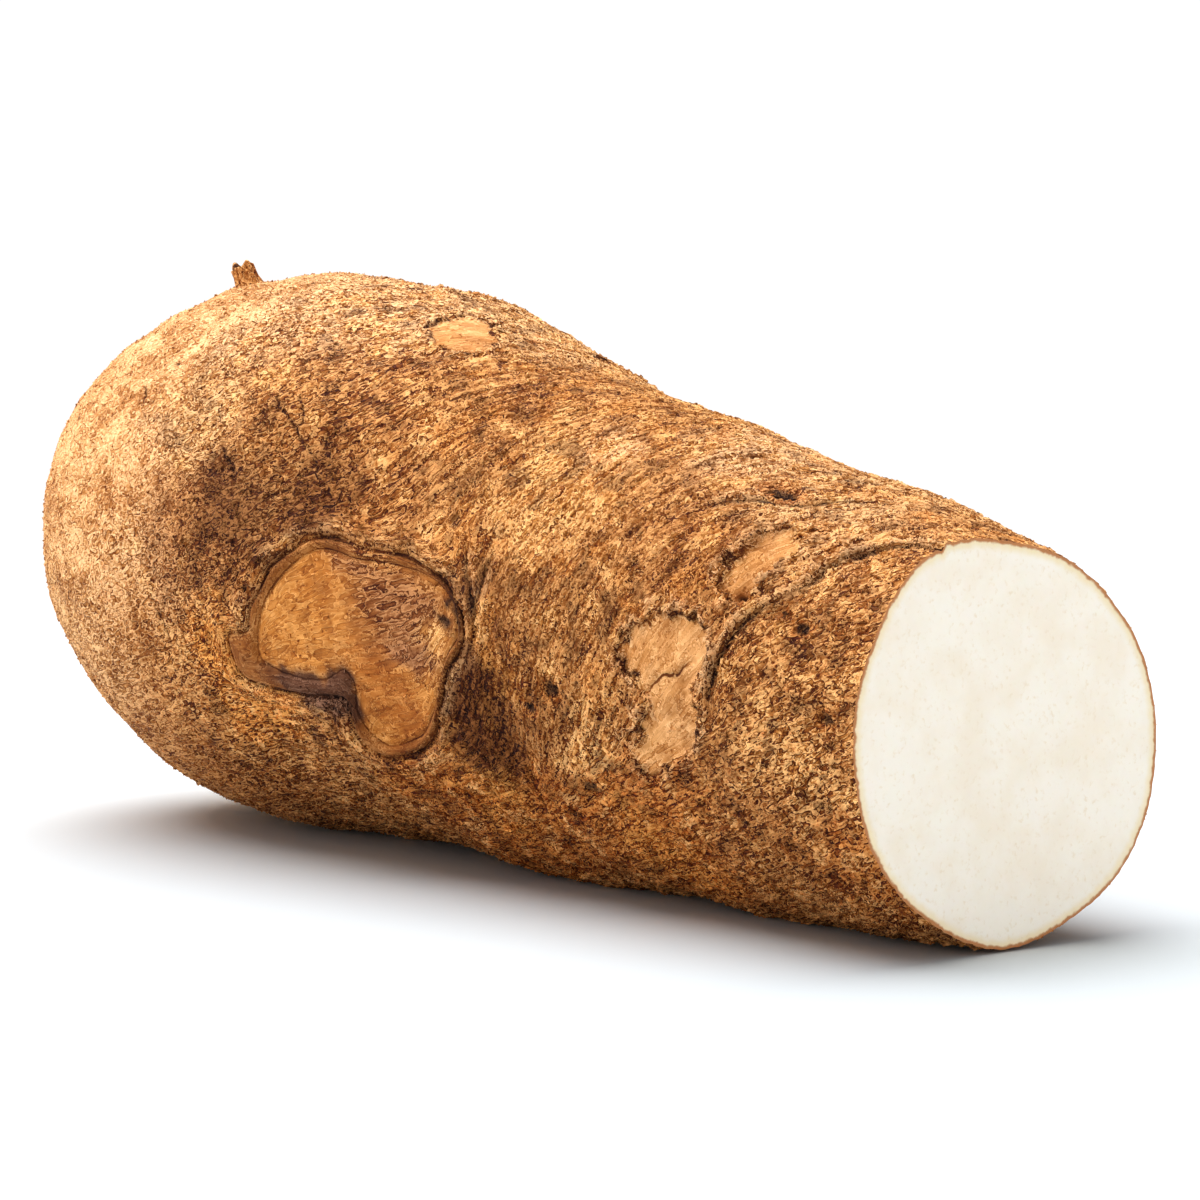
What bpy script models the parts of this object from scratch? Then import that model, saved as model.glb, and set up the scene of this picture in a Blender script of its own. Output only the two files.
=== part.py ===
"""White yam: one large tuber with its lower end sliced off, lying on its side.

The tuber lies along X. Its round end is at -X and the flat cut is at +X. It rests on the surface z = 0,
and the side with the big healed scar faces -Y. A place on the skin is given by how far along the tuber it
is, from the round tip, and by the angle round it, from the top towards -Y. All sizes are in metres.
"""

import math

import bmesh
import bpy
import numpy as np
from mathutils import Matrix, Vector

# Driving dimensions
LENGTH = 0.340  # round tip to cut
CAP = 0.078  # how far the round end reaches along the tuber
CAP_POWER = 2.15  # 2 is an ellipse, and more is blunter
TIP_HEIGHT = 0.079  # the tip above the surface
TIP_SIDE = -0.002
SKEW = 0.05  # fuller up the scarred side and down the other
SIDE_SHIFT = 0.0035  # centres the tuber across its width
SINK = 0.0018  # ground off the underside, so that the tuber rests on flat spots

# Sections: how far along, top, bottom, and the half widths towards -Y and +Y of the axis
SECTIONS = (
    (0.000, 0.137, -0.001, 0.073, 0.066),
    (0.040, 0.143, -0.001, 0.074, 0.068),
    (0.080, 0.146, 0.000, 0.075, 0.068),
    (0.110, 0.1475, 0.001, 0.073, 0.066),
    (0.140, 0.1435, 0.002, 0.069, 0.064),
    (0.170, 0.134, 0.001, 0.064, 0.061),
    (0.200, 0.1245, 0.000, 0.058, 0.058),
    (0.240, 0.117, 0.000, 0.052, 0.054),
    (0.290, 0.106, 0.000, 0.048, 0.051),
    (0.340, 0.0955, 0.0025, 0.0445, 0.0475),
)

# Slow swells of the skin: height, waves round, waves along the whole length, phase in radians
SWELLS = (
    (0.0005, 2, 3.1, 3.4),
    (0.0005, 3, -4.3, 1.9),
    (0.0004, 5, 2.2, 4.0),
    (0.0003, 4, 7.5, 2.6),
    (0.0003, 7, -6.1, 5.2),
)

# Bulges and hollows: how far along, angle in degrees, half length, half width round, height
LUMPS = (
    (0.158, 64, 0.026, 0.014, -0.0032),  # the hollow above the big scar
    (0.222, 98, 0.007, 0.030, -0.0022),  # the fold where the round end meets the neck
    (0.236, 108, 0.006, 0.018, 0.0012),
    (0.165, 18, 0.014, 0.012, 0.0012),
    (0.073, 17, 0.008, 0.006, 0.0010),  # the skin drawn up round the root stub
    (0.290, 23, 0.008, 0.004, -0.0024),  # the oval pit on the shoulder
    (0.240, 96, 0.005, 0.006, -0.0014),
    (0.320, 58, 0.005, 0.004, -0.0016),
    (0.246, 118, 0.004, 0.003, -0.0014),
    (0.110, 215, 0.030, 0.024, -0.0030),  # the far side
    (0.205, 262, 0.012, 0.026, -0.0020),
    (0.265, 300, 0.010, 0.006, -0.0024),
    (0.060, 300, 0.020, 0.018, 0.0016),
)

# Outlines of the scars: a list of points (along, round) about each scar's middle, in order round its edge
BIG_SCAR_AT = (0.172, 95)
BIG_SCAR = (
    (-0.042, 0.006), (-0.044, 0.014), (-0.036, 0.020), (-0.024, 0.018), (-0.013, 0.015), (-0.004, 0.010),
    (-0.004, 0.018), (0.001, 0.028), (0.008, 0.031), (0.017, 0.027), (0.024, 0.020), (0.032, 0.009),
    (0.040, -0.004), (0.042, -0.013), (0.037, -0.021), (0.027, -0.025), (0.010, -0.026), (-0.006, -0.024),
    (-0.017, -0.018), (-0.026, -0.009), (-0.031, 0.001), (-0.036, 0.005),
)  # fmt: skip
FLAT_SCAR_AT = (0.279, 84)
FLAT_SCAR = (
    (-0.009, -0.012), (-0.002, -0.016), (0.006, -0.018), (0.012, -0.014), (0.015, -0.006), (0.017, 0.002),
    (0.012, 0.011), (0.006, 0.017), (-0.004, 0.021), (-0.013, 0.019), (-0.008, 0.013), (-0.005, 0.007),
    (-0.011, 0.002), (-0.013, -0.006),
)  # fmt: skip
TOP_SCAR_AT = (0.166, 18)
TOP_SCAR = (
    (-0.004, 0.008), (-0.010, 0.003), (-0.011, -0.006), (-0.005, -0.011), (0.003, -0.008), (0.010, -0.001),
    (0.008, 0.007), (0.002, 0.009),
)  # fmt: skip
SHOULDER_SCAR_AT = (0.296, 48)
SHOULDER_SCAR = (
    (-0.006, 0.006), (-0.008, 0.001), (-0.004, -0.005), (0.002, -0.010), (0.008, -0.010), (0.007, -0.003),
    (0.005, 0.004), (0.001, 0.009),
)  # fmt: skip
BACK_SCAR_AT = (0.122, 262)
BACK_SCAR = (
    (-0.024, 0.004), (-0.022, -0.009), (-0.010, -0.015), (0.006, -0.013), (0.021, -0.008), (0.026, 0.003),
    (0.016, 0.012), (0.003, 0.010), (-0.006, 0.016), (-0.018, 0.014),
)  # fmt: skip
LOW_SCAR_AT = (0.255, 232)
LOW_SCAR = (
    (-0.012, 0.006), (-0.014, -0.005), (-0.005, -0.013), (0.007, -0.011), (0.014, -0.002), (0.010, 0.009),
    (0.000, 0.012),
)  # fmt: skip

# Scars with a rolled rim, and scars where a flake of bark has come away: place, outline, depth of the floor
RIMMED_SCARS = ((BIG_SCAR_AT, BIG_SCAR, 0.0010), (BACK_SCAR_AT, BACK_SCAR, 0.0012))
BARE_SCARS = (
    (FLAT_SCAR_AT, FLAT_SCAR, 0.0011),
    (TOP_SCAR_AT, TOP_SCAR, 0.0007),
    (SHOULDER_SCAR_AT, SHOULDER_SCAR, 0.0014),
    (LOW_SCAR_AT, LOW_SCAR, 0.0011),
)
RIM_WIDTH = 0.0042
GROOVE_WIDTH = 0.0014

# Creases: points (along, angle in degrees), depth, and the height of the lip on the side of smaller angles
CREASES = (
    (((0.291, 94), (0.293, 84), (0.297, 72), (0.302, 62), (0.311, 54)), 0.0013, 0.0012),
    (((0.308, 52), (0.315, 44), (0.321, 36), (0.330, 30), (0.346, 20)), 0.0012, 0.0014),
    (((0.278, 27), (0.289, 27), (0.300, 21), (0.312, 12)), 0.0010, 0.0007),
    (((0.209, 64), (0.214, 71), (0.218, 80), (0.219, 88), (0.215, 95)), 0.0010, 0.0005),
    (((0.222, 66), (0.220, 73), (0.219, 82)), 0.0010, 0.0004),
    (((0.134, 50), (0.144, 54), (0.151, 58), (0.159, 64)), 0.0008, 0.0002),
    (((0.228, 150), (0.233, 172), (0.230, 196), (0.222, 214)), 0.0012, 0.0008),
    (((0.292, 205), (0.300, 228), (0.298, 252), (0.306, 276)), 0.0013, 0.0012),
    (((0.168, 290), (0.176, 306), (0.173, 324), (0.180, 340)), 0.0011, 0.0008),
    (((0.060, 222), (0.082, 232), (0.100, 226)), 0.0010, 0.0005),
)
CREASE_WIDTH = 0.0015

# The stump of a root on top of the round end, leaning to the tip, with two torn points on its rim
STUB_AT = (0.073, 17)
STUB_HEIGHT = 0.0046
STUB_ROOT = 0.004  # how deep it starts under the skin
STUB_RADIUS = 0.0034
STUB_TOP_RADIUS = 0.0030
STUB_LEAN = 14  # degrees
# Each torn point: how far from the stub's middle along the tuber, height, radius, lean in degrees
TORN_POINTS = ((-0.0022, 0.0026, 0.0009, 22), (0.0019, 0.0011, 0.0011, -8))

# Mesh: quads round, rings along, and how far past the cut the rings go before the knife
ROUND_SEGMENTS = 48
RINGS = 54
CAP_SHARE = 0.31  # share of the rings in the round end
OVERRUN = 0.008
DETAIL_REACHES = (0.0085, 0.0042)  # the mesh is halved this near an outline or a crease, then halved again


def smooth_through(at, values, where):
    """A smooth curve through the values at the stations, read at other places."""
    at, values, where = (np.asarray(x, float) for x in (at, values, where))
    gap = np.diff(at)
    slope = np.diff(values) / gap
    tangent = np.concatenate(
        [slope[:1], (slope[:-1] * gap[1:] + slope[1:] * gap[:-1]) / (gap[:-1] + gap[1:]), slope[-1:]]
    )
    i = np.clip(np.searchsorted(at, where, side="right") - 1, 0, len(at) - 2)
    t = (where - at[i]) / gap[i]
    return (
        values[i] * (1 + 2 * t) * (1 - t) ** 2
        + tangent[i] * gap[i] * t * (1 - t) ** 2
        + values[i + 1] * t * t * (3 - 2 * t)
        + tangent[i + 1] * gap[i] * t * t * (t - 1)
    )


def section_at(along):
    """The section's centre (y, z) and its reach up, down, towards -Y and towards +Y."""
    table = np.array(SECTIONS)
    top, bottom, near, far = (smooth_through(table[:, 0], table[:, k], along) for k in (1, 2, 3, 4))
    to_tip = np.clip(1 - along / CAP, 0, 1)
    fullness = (1 - to_tip**CAP_POWER) ** (1 / CAP_POWER)
    middle = (top + bottom) / 2
    blend = to_tip**2
    y = TIP_SIDE * blend + SIDE_SHIFT
    z = middle * (1 - blend) + TIP_HEIGHT * blend
    return y, z, (top - middle) * fullness, (middle - bottom) * fullness, near * fullness, far * fullness


def bare_point(along, angle):
    """The skin without its relief: each quarter of a section is a quarter ellipse, and SKEW leans it."""
    y, z, up, down, near, far = section_at(along)
    c, s = np.cos(angle), np.sin(angle)
    lean = 1 + SKEW * np.sin(2 * angle)
    return np.stack(
        [
            along - LENGTH / 2,
            y - np.where(s > 0, near, far) * s * lean,
            z + np.where(c > 0, up, down) * c * lean,
        ],
        axis=-1,
    )


def outward(along, angle):
    """The skin's unit normal, from its slopes along and round."""
    step, turn = 0.0005, 0.01
    inner = np.maximum(along, 2 * step)
    slope_along = bare_point(inner + step, angle) - bare_point(inner - step, angle)
    slope_round = bare_point(inner, angle + turn) - bare_point(inner, angle - turn)
    normal = np.cross(slope_round, slope_along)
    normal /= np.linalg.norm(normal, axis=-1, keepdims=True)
    to_tip = np.clip(1 - along / (8 * step), 0, 1)[..., None]
    normal = normal * (1 - to_tip) + np.array([-1.0, 0.0, 0.0]) * to_tip
    return normal / np.linalg.norm(normal, axis=-1, keepdims=True)


def about(place, along, angle):
    """Distances along and round the skin from a place on it."""
    _, _, up, down, near, far = section_at(np.array([place[0]]))
    radius = float((up + down + near + far)[0]) / 4
    turn = (angle - math.radians(place[1]) + math.pi) % (2 * math.pi) - math.pi
    return along - place[0], radius * turn


def rounded(points, closed, steps=5):
    """A Catmull-Rom curve through the points."""
    p = np.array(points, float)
    if closed:
        p = np.concatenate([p[-1:], p, p[:2]])
    else:
        p = np.concatenate([2 * p[:1] - p[1:2], p, 2 * p[-1:] - p[-2:-1]])
    t = np.linspace(0, 1, steps, endpoint=False)[:, None]
    curve = [
        0.5
        * (
            2 * b
            + (c - a) * t
            + (2 * a - 5 * b + 4 * c - d) * t**2
            + (3 * b - a - 3 * c + d) * t**3
        )
        for a, b, c, d in zip(p[:-3], p[1:-2], p[2:-1], p[3:])
    ]
    return np.concatenate(curve if closed else [*curve, p[-2:-1]])


def nearest(curve, u, v, closed):
    """Distance from the curve, the side of it as a sign, and the share of its length at the nearest point."""
    ends = np.roll(curve, -1, 0) if closed else curve[1:]
    starts = curve if closed else curve[:-1]
    best = np.full(np.shape(u), 1e9)
    side = np.ones(np.shape(u))
    share = np.zeros(np.shape(u))
    for k, (a, b) in enumerate(zip(starts, ends)):
        d = b - a
        t = np.clip(((u - a[0]) * d[0] + (v - a[1]) * d[1]) / (d @ d), 0, 1)
        away_u, away_v = u - a[0] - t * d[0], v - a[1] - t * d[1]
        distance = np.hypot(away_u, away_v)
        closer = distance < best
        best = np.where(closer, distance, best)
        side = np.where(closer, np.where(d[0] * away_v - d[1] * away_u > 0, 1.0, -1.0), side)
        share = np.where(closer, (k + t) / len(starts), share)
    return best, side, share


def inside(curve, u, v):
    """Whether each place lies inside a closed curve, by counting crossings."""
    crossings = np.zeros(np.shape(u), int)
    for a, b in zip(curve, np.roll(curve, -1, 0)):
        spans = (a[1] > v) != (b[1] > v)
        at = a[0] + (v - a[1]) * (b[0] - a[0]) / (b[1] - a[1] + 1e-12)
        crossings += spans & (u < at)
    return crossings % 2 == 1


def past_edge(place, outline, along, angle):
    """Distance outside a scar's edge, negative inside it."""
    u, v = about(place, along, angle)
    curve = rounded(outline, closed=True)
    distance = nearest(curve, u, v, closed=True)[0]
    return np.where(inside(curve, u, v), -distance, distance)


def ridge(distance, width):
    return np.exp(-((distance / width) ** 2))


def step_down(distance, width):
    """1 well inside an edge, 0 outside it."""
    return 1 / (1 + np.exp(np.clip(distance / width, -40, 40)))


def rimmed_relief(d, floor):
    """A healed scar: a swollen border, a groove, a rolled rim, a second groove and a smooth sunken floor."""
    border = 0.0009 * ridge(d - 0.0028, 0.0022)
    groove = -0.0017 * ridge(d, GROOVE_WIDTH)
    rim = 0.0008 * ridge(d + 0.5 * RIM_WIDTH, 0.35 * RIM_WIDTH)
    inner_groove = -0.0007 * ridge(d + RIM_WIDTH, GROOVE_WIDTH)
    return border + groove + rim + inner_groove - floor * step_down(d + RIM_WIDTH, 0.001)


def bare_relief(d, floor):
    """Where bark has come away: a raised edge round a sunken floor."""
    return 0.0007 * ridge(d - 0.0012, 0.0012) - floor * step_down(d + 0.0004, 0.0005)


def crease_distance(crease, along, angle):
    """Signed distance from a crease, positive on the side of larger angles, and its taper towards its ends."""
    place = crease[len(crease) // 2]
    u, v = about(place, along, angle)
    at, turn = np.array(crease).T
    points = np.stack(about(place, at, np.radians(turn)), axis=-1)
    distance, side, share = nearest(rounded(points, closed=False), u, v, closed=False)
    return distance * side, np.sqrt(np.sin(math.pi * np.clip(share, 0.02, 0.98)))


def relief(along, angle):
    """Height of the skin's relief above its plain form."""
    height = np.zeros(np.shape(along))
    for size, round_waves, long_waves, phase in SWELLS:
        fade = np.clip(along / CAP, 0, 1)
        height += size * fade * np.sin(round_waves * angle + 2 * math.pi * long_waves * along / LENGTH + phase)
    for at, turn, half_length, half_width, size in LUMPS:
        u, v = about((at, turn), along, angle)
        height += size * np.exp(-((u / half_length) ** 2) - (v / half_width) ** 2)
    for place, outline, floor in RIMMED_SCARS:
        height += rimmed_relief(past_edge(place, outline, along, angle), floor)
    for place, outline, floor in BARE_SCARS:
        height += bare_relief(past_edge(place, outline, along, angle), floor)
    for crease, depth, lip in CREASES:
        d, taper = crease_distance(crease, along, angle)
        # The lip is pushed up on one side of the groove.
        height += taper * (lip * ridge(d + 1.6 * CREASE_WIDTH, CREASE_WIDTH) - depth * ridge(d, CREASE_WIDTH))
    return height


def skin_point(along, angle):
    return bare_point(along, angle) + outward(along, angle) * relief(along, angle)[..., None]


def places_of(vertices):
    """How far along and at what angle each vertex of the unit ball belongs on the tuber."""
    co = np.array([v.co for v in vertices])
    co /= np.linalg.norm(co, axis=1, keepdims=True)
    share = np.arccos(np.clip(-co[:, 2], -1, 1)) / math.pi
    in_cap = CAP * (1 - np.cos(0.5 * math.pi * share / CAP_SHARE))
    past_cap = CAP + (share - CAP_SHARE) / (1 - CAP_SHARE) * (LENGTH + OVERRUN - CAP)
    return np.where(share < CAP_SHARE, in_cap, past_cap), np.arctan2(co[:, 1], co[:, 0])


def near_detail(along, angle, reach):
    """Where an outline, a crease, a small pit or the stub is within reach, so that it needs a finer mesh."""
    found = np.zeros(len(along), bool)
    for place, outline, _ in (*RIMMED_SCARS, *BARE_SCARS):
        found |= np.abs(past_edge(place, outline, along, angle)) < reach
    for crease, _, _ in CREASES:
        found |= np.abs(crease_distance(crease, along, angle)[0]) < 0.8 * reach
    small = [(at, turn, 2 * max(length, width)) for at, turn, length, width, _ in LUMPS if length < 0.009]
    for at, turn, size in (*small, (*STUB_AT, 2 * STUB_RADIUS)):
        found |= np.hypot(*about((at, turn), along, angle)) < min(size, reach)
    return found


def refine(bm):
    """Halves the edges of the ball, twice, where the tuber has fine relief."""
    for reach in DETAIL_REACHES:
        bm.verts.index_update()
        fine = near_detail(*places_of(bm.verts), reach)
        edges = [e for e in bm.edges if fine[e.verts[0].index] and fine[e.verts[1].index]]
        bmesh.ops.subdivide_edges(bm, edges=edges, cuts=1, use_grid_fill=True)
        bmesh.ops.triangulate(bm, faces=[f for f in bm.faces if len(f.verts) > 4])


def slice_end(bm, flesh_index):
    """The knife: removes what is past the cut and closes it with one flat face."""
    bmesh.ops.bisect_plane(
        bm,
        geom=[*bm.verts, *bm.edges, *bm.faces],
        dist=1e-7,
        plane_co=(LENGTH / 2, 0, 0),
        plane_no=(1, 0, 0),
        clear_outer=True,
    )
    edges = [e for e in bm.edges if e.is_boundary]
    for face in bmesh.ops.contextual_create(bm, geom=edges)["faces"]:
        face.material_index = flesh_index
        face.normal_update()
        if face.normal.x < 0:
            face.normal_flip()


def tuber_mesh():
    """A ball of rings, drawn out into the tuber, ground flat where it rests, and cut."""
    bm = bmesh.new()
    bmesh.ops.create_uvsphere(bm, u_segments=ROUND_SEGMENTS, v_segments=RINGS, radius=1)
    refine(bm)
    along, angle = places_of(bm.verts)
    points = skin_point(along, angle)
    points[:, 2] = np.maximum(points[:, 2] - SINK, 0)
    for vertex, point in zip(bm.verts, points):
        vertex.co = Vector(point)
    bmesh.ops.recalc_face_normals(bm, faces=bm.faces)
    slice_end(bm, flesh_index=1)
    mesh = bpy.data.meshes.new("yam")
    bm.to_mesh(mesh)
    bm.free()
    return mesh


def cone(name, collection, frame, base, top, height, sides):
    """A tapered peg standing on the frame's origin, along the frame's Z."""
    bm = bmesh.new()
    bmesh.ops.create_cone(bm, cap_ends=True, segments=sides, radius1=base, radius2=top, depth=height)
    bmesh.ops.translate(bm, verts=bm.verts, vec=(0, 0, height / 2))
    mesh = bpy.data.meshes.new(name)
    bm.to_mesh(mesh)
    bm.free()
    peg = bpy.data.objects.new(name, mesh)
    collection.objects.link(peg)
    peg.matrix_world = frame
    return peg


def leaning(degrees):
    """Leans what stands along Z towards the tip."""
    return Matrix.Rotation(math.radians(-degrees), 4, "Y")


def root_stub(collection):
    """The stump and its torn points, in a frame that stands on the skin with X along the tuber."""
    along, angle = np.array([STUB_AT[0]]), np.radians([STUB_AT[1]])
    normal = Vector(outward(along, angle)[0])
    across = normal.cross((1, 0, 0)).normalized()
    turned = Matrix((across.cross(normal), across, normal)).transposed().to_4x4()
    foot = Vector(skin_point(along, angle)[0]) - normal * STUB_ROOT
    upright = Matrix.Translation(foot) @ turned @ leaning(STUB_LEAN)
    top = STUB_ROOT + STUB_HEIGHT
    sunk = 0.0015
    cone("stub", collection, upright, STUB_RADIUS, STUB_TOP_RADIUS, top, 9)
    for k, (x, height, radius, lean) in enumerate(TORN_POINTS):
        place = Matrix.Translation((x, 0, top - sunk)) @ leaning(lean)
        cone(f"point_{k}", collection, upright @ place, radius, 0.5 * radius, height + sunk, 5)


def join_to(body, collection):
    """Fuses everything in the collection to the body, then removes the collection."""
    union = body.modifiers.new("grown together", "BOOLEAN")
    union.operation = "UNION"
    union.operand_type = "COLLECTION"
    union.collection = collection
    bpy.context.view_layer.update()
    fused = bpy.data.meshes.new_from_object(body.evaluated_get(bpy.context.evaluated_depsgraph_get()))
    body.modifiers.remove(union)
    body.data = fused
    for peg in list(collection.objects):
        bpy.data.objects.remove(peg)
    bpy.data.collections.remove(collection)


def material(name, colour, roughness):
    made = bpy.data.materials.new(name)
    made.use_nodes = True
    shader = made.node_tree.nodes["Principled BSDF"]
    shader.inputs["Base Color"].default_value = (*colour, 1)
    shader.inputs["Roughness"].default_value = roughness
    shader.inputs["Metallic"].default_value = 0
    return made


def new_collection(name):
    collection = bpy.data.collections.new(name)
    bpy.context.scene.collection.children.link(collection)
    return collection


def main():
    for obj in list(bpy.data.objects):
        bpy.data.objects.remove(obj)
    yam = bpy.data.objects.new("yam", tuber_mesh())
    new_collection("white yam").objects.link(yam)
    yam.data.materials.append(material("skin", (0.42, 0.22, 0.09), 0.85))
    yam.data.materials.append(material("flesh", (0.93, 0.86, 0.74), 0.55))
    pegs = new_collection("root stub")
    root_stub(pegs)
    join_to(yam, pegs)
    yam.data.shade_smooth()
    yam.data.set_sharp_from_angle(angle=math.radians(50))


main()
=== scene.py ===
"""White yam: the finished look of one large tuber, lying on its side with its lower end sliced off.

A place on the skin is given by how far along the tuber it is, from the round tip, and by the angle round
it, from the top towards -Y, as in the part's source. Sizes are in metres, except in tables said to be in
millimetres.
"""

import functools
import itertools
import math

import bpy
import numpy as np
from mathutils import Matrix, Vector

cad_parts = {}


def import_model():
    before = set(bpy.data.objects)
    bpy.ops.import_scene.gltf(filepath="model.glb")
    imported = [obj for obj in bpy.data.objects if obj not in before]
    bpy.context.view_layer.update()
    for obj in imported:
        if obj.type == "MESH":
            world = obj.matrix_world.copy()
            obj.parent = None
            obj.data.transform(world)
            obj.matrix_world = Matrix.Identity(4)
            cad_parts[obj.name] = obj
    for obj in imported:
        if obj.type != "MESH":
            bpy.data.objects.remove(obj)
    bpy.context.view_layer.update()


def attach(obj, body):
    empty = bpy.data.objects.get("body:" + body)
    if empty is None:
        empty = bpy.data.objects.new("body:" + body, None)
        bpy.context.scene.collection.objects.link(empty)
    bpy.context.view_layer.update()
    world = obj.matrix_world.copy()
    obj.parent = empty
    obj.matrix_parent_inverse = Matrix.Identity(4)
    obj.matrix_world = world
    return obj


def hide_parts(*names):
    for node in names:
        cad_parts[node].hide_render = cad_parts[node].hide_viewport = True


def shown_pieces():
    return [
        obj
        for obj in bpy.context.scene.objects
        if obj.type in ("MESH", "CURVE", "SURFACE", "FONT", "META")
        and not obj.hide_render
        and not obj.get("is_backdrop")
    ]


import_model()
MM = 0.001

# The tuber's form, as in the part's source
LENGTH = 0.340
CAP = 0.078
CAP_POWER = 2.15
TIP_HEIGHT = 0.079
TIP_SIDE = -0.002
SKEW = 0.05
SIDE_SHIFT = 0.0035
SINK = 0.0018

# Sections: how far along, top, bottom, and the half widths towards -Y and +Y of the axis
SECTIONS = (
    (0.000, 0.137, -0.001, 0.073, 0.066),
    (0.040, 0.143, -0.001, 0.074, 0.068),
    (0.080, 0.146, 0.000, 0.075, 0.068),
    (0.110, 0.1475, 0.001, 0.073, 0.066),
    (0.140, 0.1435, 0.002, 0.069, 0.064),
    (0.170, 0.134, 0.001, 0.064, 0.061),
    (0.200, 0.1245, 0.000, 0.058, 0.058),
    (0.240, 0.117, 0.000, 0.052, 0.054),
    (0.290, 0.106, 0.000, 0.048, 0.051),
    (0.340, 0.0955, 0.0025, 0.0445, 0.0475),
)

# Slow swells of the skin: height, waves round, waves along the whole length, phase in radians
SWELLS = (
    (0.0005, 2, 3.1, 3.4),
    (0.0005, 3, -4.3, 1.9),
    (0.0004, 5, 2.2, 4.0),
    (0.0003, 4, 7.5, 2.6),
    (0.0003, 7, -6.1, 5.2),
)

# Bulges and hollows, in millimetres: how far along, angle in degrees, half length, half width, height
LUMPS = (
    (158, 64, 26, 14, -3.2),
    (222, 98, 7, 30, -2.2),
    (236, 108, 6, 18, 1.2),
    (165, 18, 14, 12, 1.2),
    (73, 17, 8, 6, 1),
    (110, 215, 30, 24, -3),
    (205, 262, 12, 26, -2),
    (60, 300, 20, 18, 1.6),
)

# Pits, in millimetres: how far along, angle in degrees, half length, half width, depth
PITS = (
    (288, 25, 6.5, 3, 2.4),
    (297.7, 57.5, 2, 1.6, 2),
    (318, 60.5, 3, 2.2, 1.8),
    (312, 58, 1.6, 1.4, 1.4),
    (241.4, 92.5, 3, 2.6, 1.8),
    (233.5, 98, 3, 2, 1.6),
    (330, 81.5, 2.6, 2.2, 1.8),
    (246, 117.5, 3.4, 2.4, 1.8),
    (204.5, 83, 2.4, 1.2, 1.2),
    (139.5, 90, 1.4, 1.2, 1.2),
    (123.6, 124.5, 1.2, 1, 1),
    (87.6, 45.5, 1, 0.9, 0.9),
    (51.8, 58, 0.9, 0.8, 0.9),
    (61.7, 57, 0.7, 0.6, 0.7),
    (89.1, 55.5, 0.8, 0.7, 0.8),
    (112, 51.5, 0.8, 0.7, 0.8),
    (131, 49.5, 0.8, 0.7, 0.8),
    (139.4, 40.5, 0.9, 0.8, 0.8),
    (85.1, 31, 0.8, 0.7, 0.8),
    (57.8, 23, 0.7, 0.6, 0.8),
    (36.3, 54.5, 0.8, 0.7, 0.8),
    (33.9, 70.5, 0.8, 0.7, 0.8),
    (175.6, 4.5, 2.6, 1.6, 1.4),
    (265, 300, 7, 4, 2.2),
    (210, 322, 3, 2.2, 1.6),
    (90, 262, 1.2, 1, 1),
    (148, 316, 1.4, 1.2, 1.2),
    (318, 214, 3.4, 2.4, 1.8),
)

# Scars, in millimetres: the place of each one's middle, and outlines as points (along, round) about it
HEART_AT = (172, 95)
HEART_OUTER = (
    (-34, 4), (-32, -1), (-28, -6), (-24, -12), (-18, -17), (-13, -21), (-6, -23.5), (0, -24), (6, -24),
    (13, -25), (19, -26), (26, -25), (32, -23.5), (36, -21), (39.5, -17), (41, -12), (40, -8), (37, -4),
    (34, 0), (32, 5), (29, 11), (25.5, 17), (20.5, 22.5), (14, 27.5), (6, 31), (-1, 31.5), (-4, 28.5),
    (-5, 24.5), (-4, 19), (-4, 15.5), (-10, 16), (-18, 17.5), (-25, 18.5), (-33, 19), (-41, 18.5),
    (-43.5, 14.5), (-43.5, 10), (-42.5, 6.5), (-38, 5.5),
)
HEART_INNER = (
    (-32.5, 9), (-30.5, 3.5), (-27, -3), (-22.5, -9), (-17, -14.5), (-10.5, -19.5), (-4, -21), (3, -21),
    (12, -22.5), (21, -23.5), (28, -23), (33, -21), (37, -17.5), (38.5, -13), (38, -10), (35, -6),
    (32.5, -1.5), (30, 4), (27, 10), (23.5, 15), (18.5, 20.5), (11, 25.5), (4, 28), (0, 26), (-2, 22),
    (-1.5, 17), (0, 11.5), (-1, 8.5), (-3.5, 8), (-9, 11.5), (-16, 13), (-23, 13.5), (-29.5, 13),
    (-32.5, 11.5),
)
FLAT_AT = (279, 84)
FLAT_OUTLINE = (
    (-1, -16), (-6, -13), (-11, -10), (-14, -5), (-15, -3), (-12, -1), (-8, 2), (-6, 4), (-9, 9), (-11, 13),
    (-16, 17), (-14, 21.5), (-9, 23), (-3, 20), (3, 17), (8, 13), (12, 6), (10, 0), (13, -7), (13, -14),
    (9, -16), (3, -17),
)
TOP_AT = (166, 18)
TOP_OUTLINE = ((-4, 8), (-10, 3), (-11, -6), (-5, -11), (3, -8), (10, -1), (8, 7), (2, 9))
SHOULDER_AT = (296, 48)
SHOULDER_OUTLINE = (
    (-6, 5), (-5, 1), (-2, -5), (2, -9), (6, -11), (10, -10), (9, -5), (7, -1), (5, 4), (4, 8), (0, 10),
    (-4, 8),
)
BACK_AT = (122, 262)
BACK_OUTER = (
    (-24, 4), (-22, -9), (-10, -15), (6, -13), (21, -8), (26, 3), (16, 12), (3, 10), (-6, 16), (-18, 14),
)
BACK_INNER = (
    (-20, 4), (-18, -7), (-9, -11), (6, -9), (18, -5), (22, 3), (14, 8), (3, 7), (-7, 12), (-15, 10),
)
LOW_AT = (255, 232)
LOW_OUTLINE = ((-12, 6), (-14, -5), (-5, -13), (7, -11), (14, -2), (10, 9), (0, 12))

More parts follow.
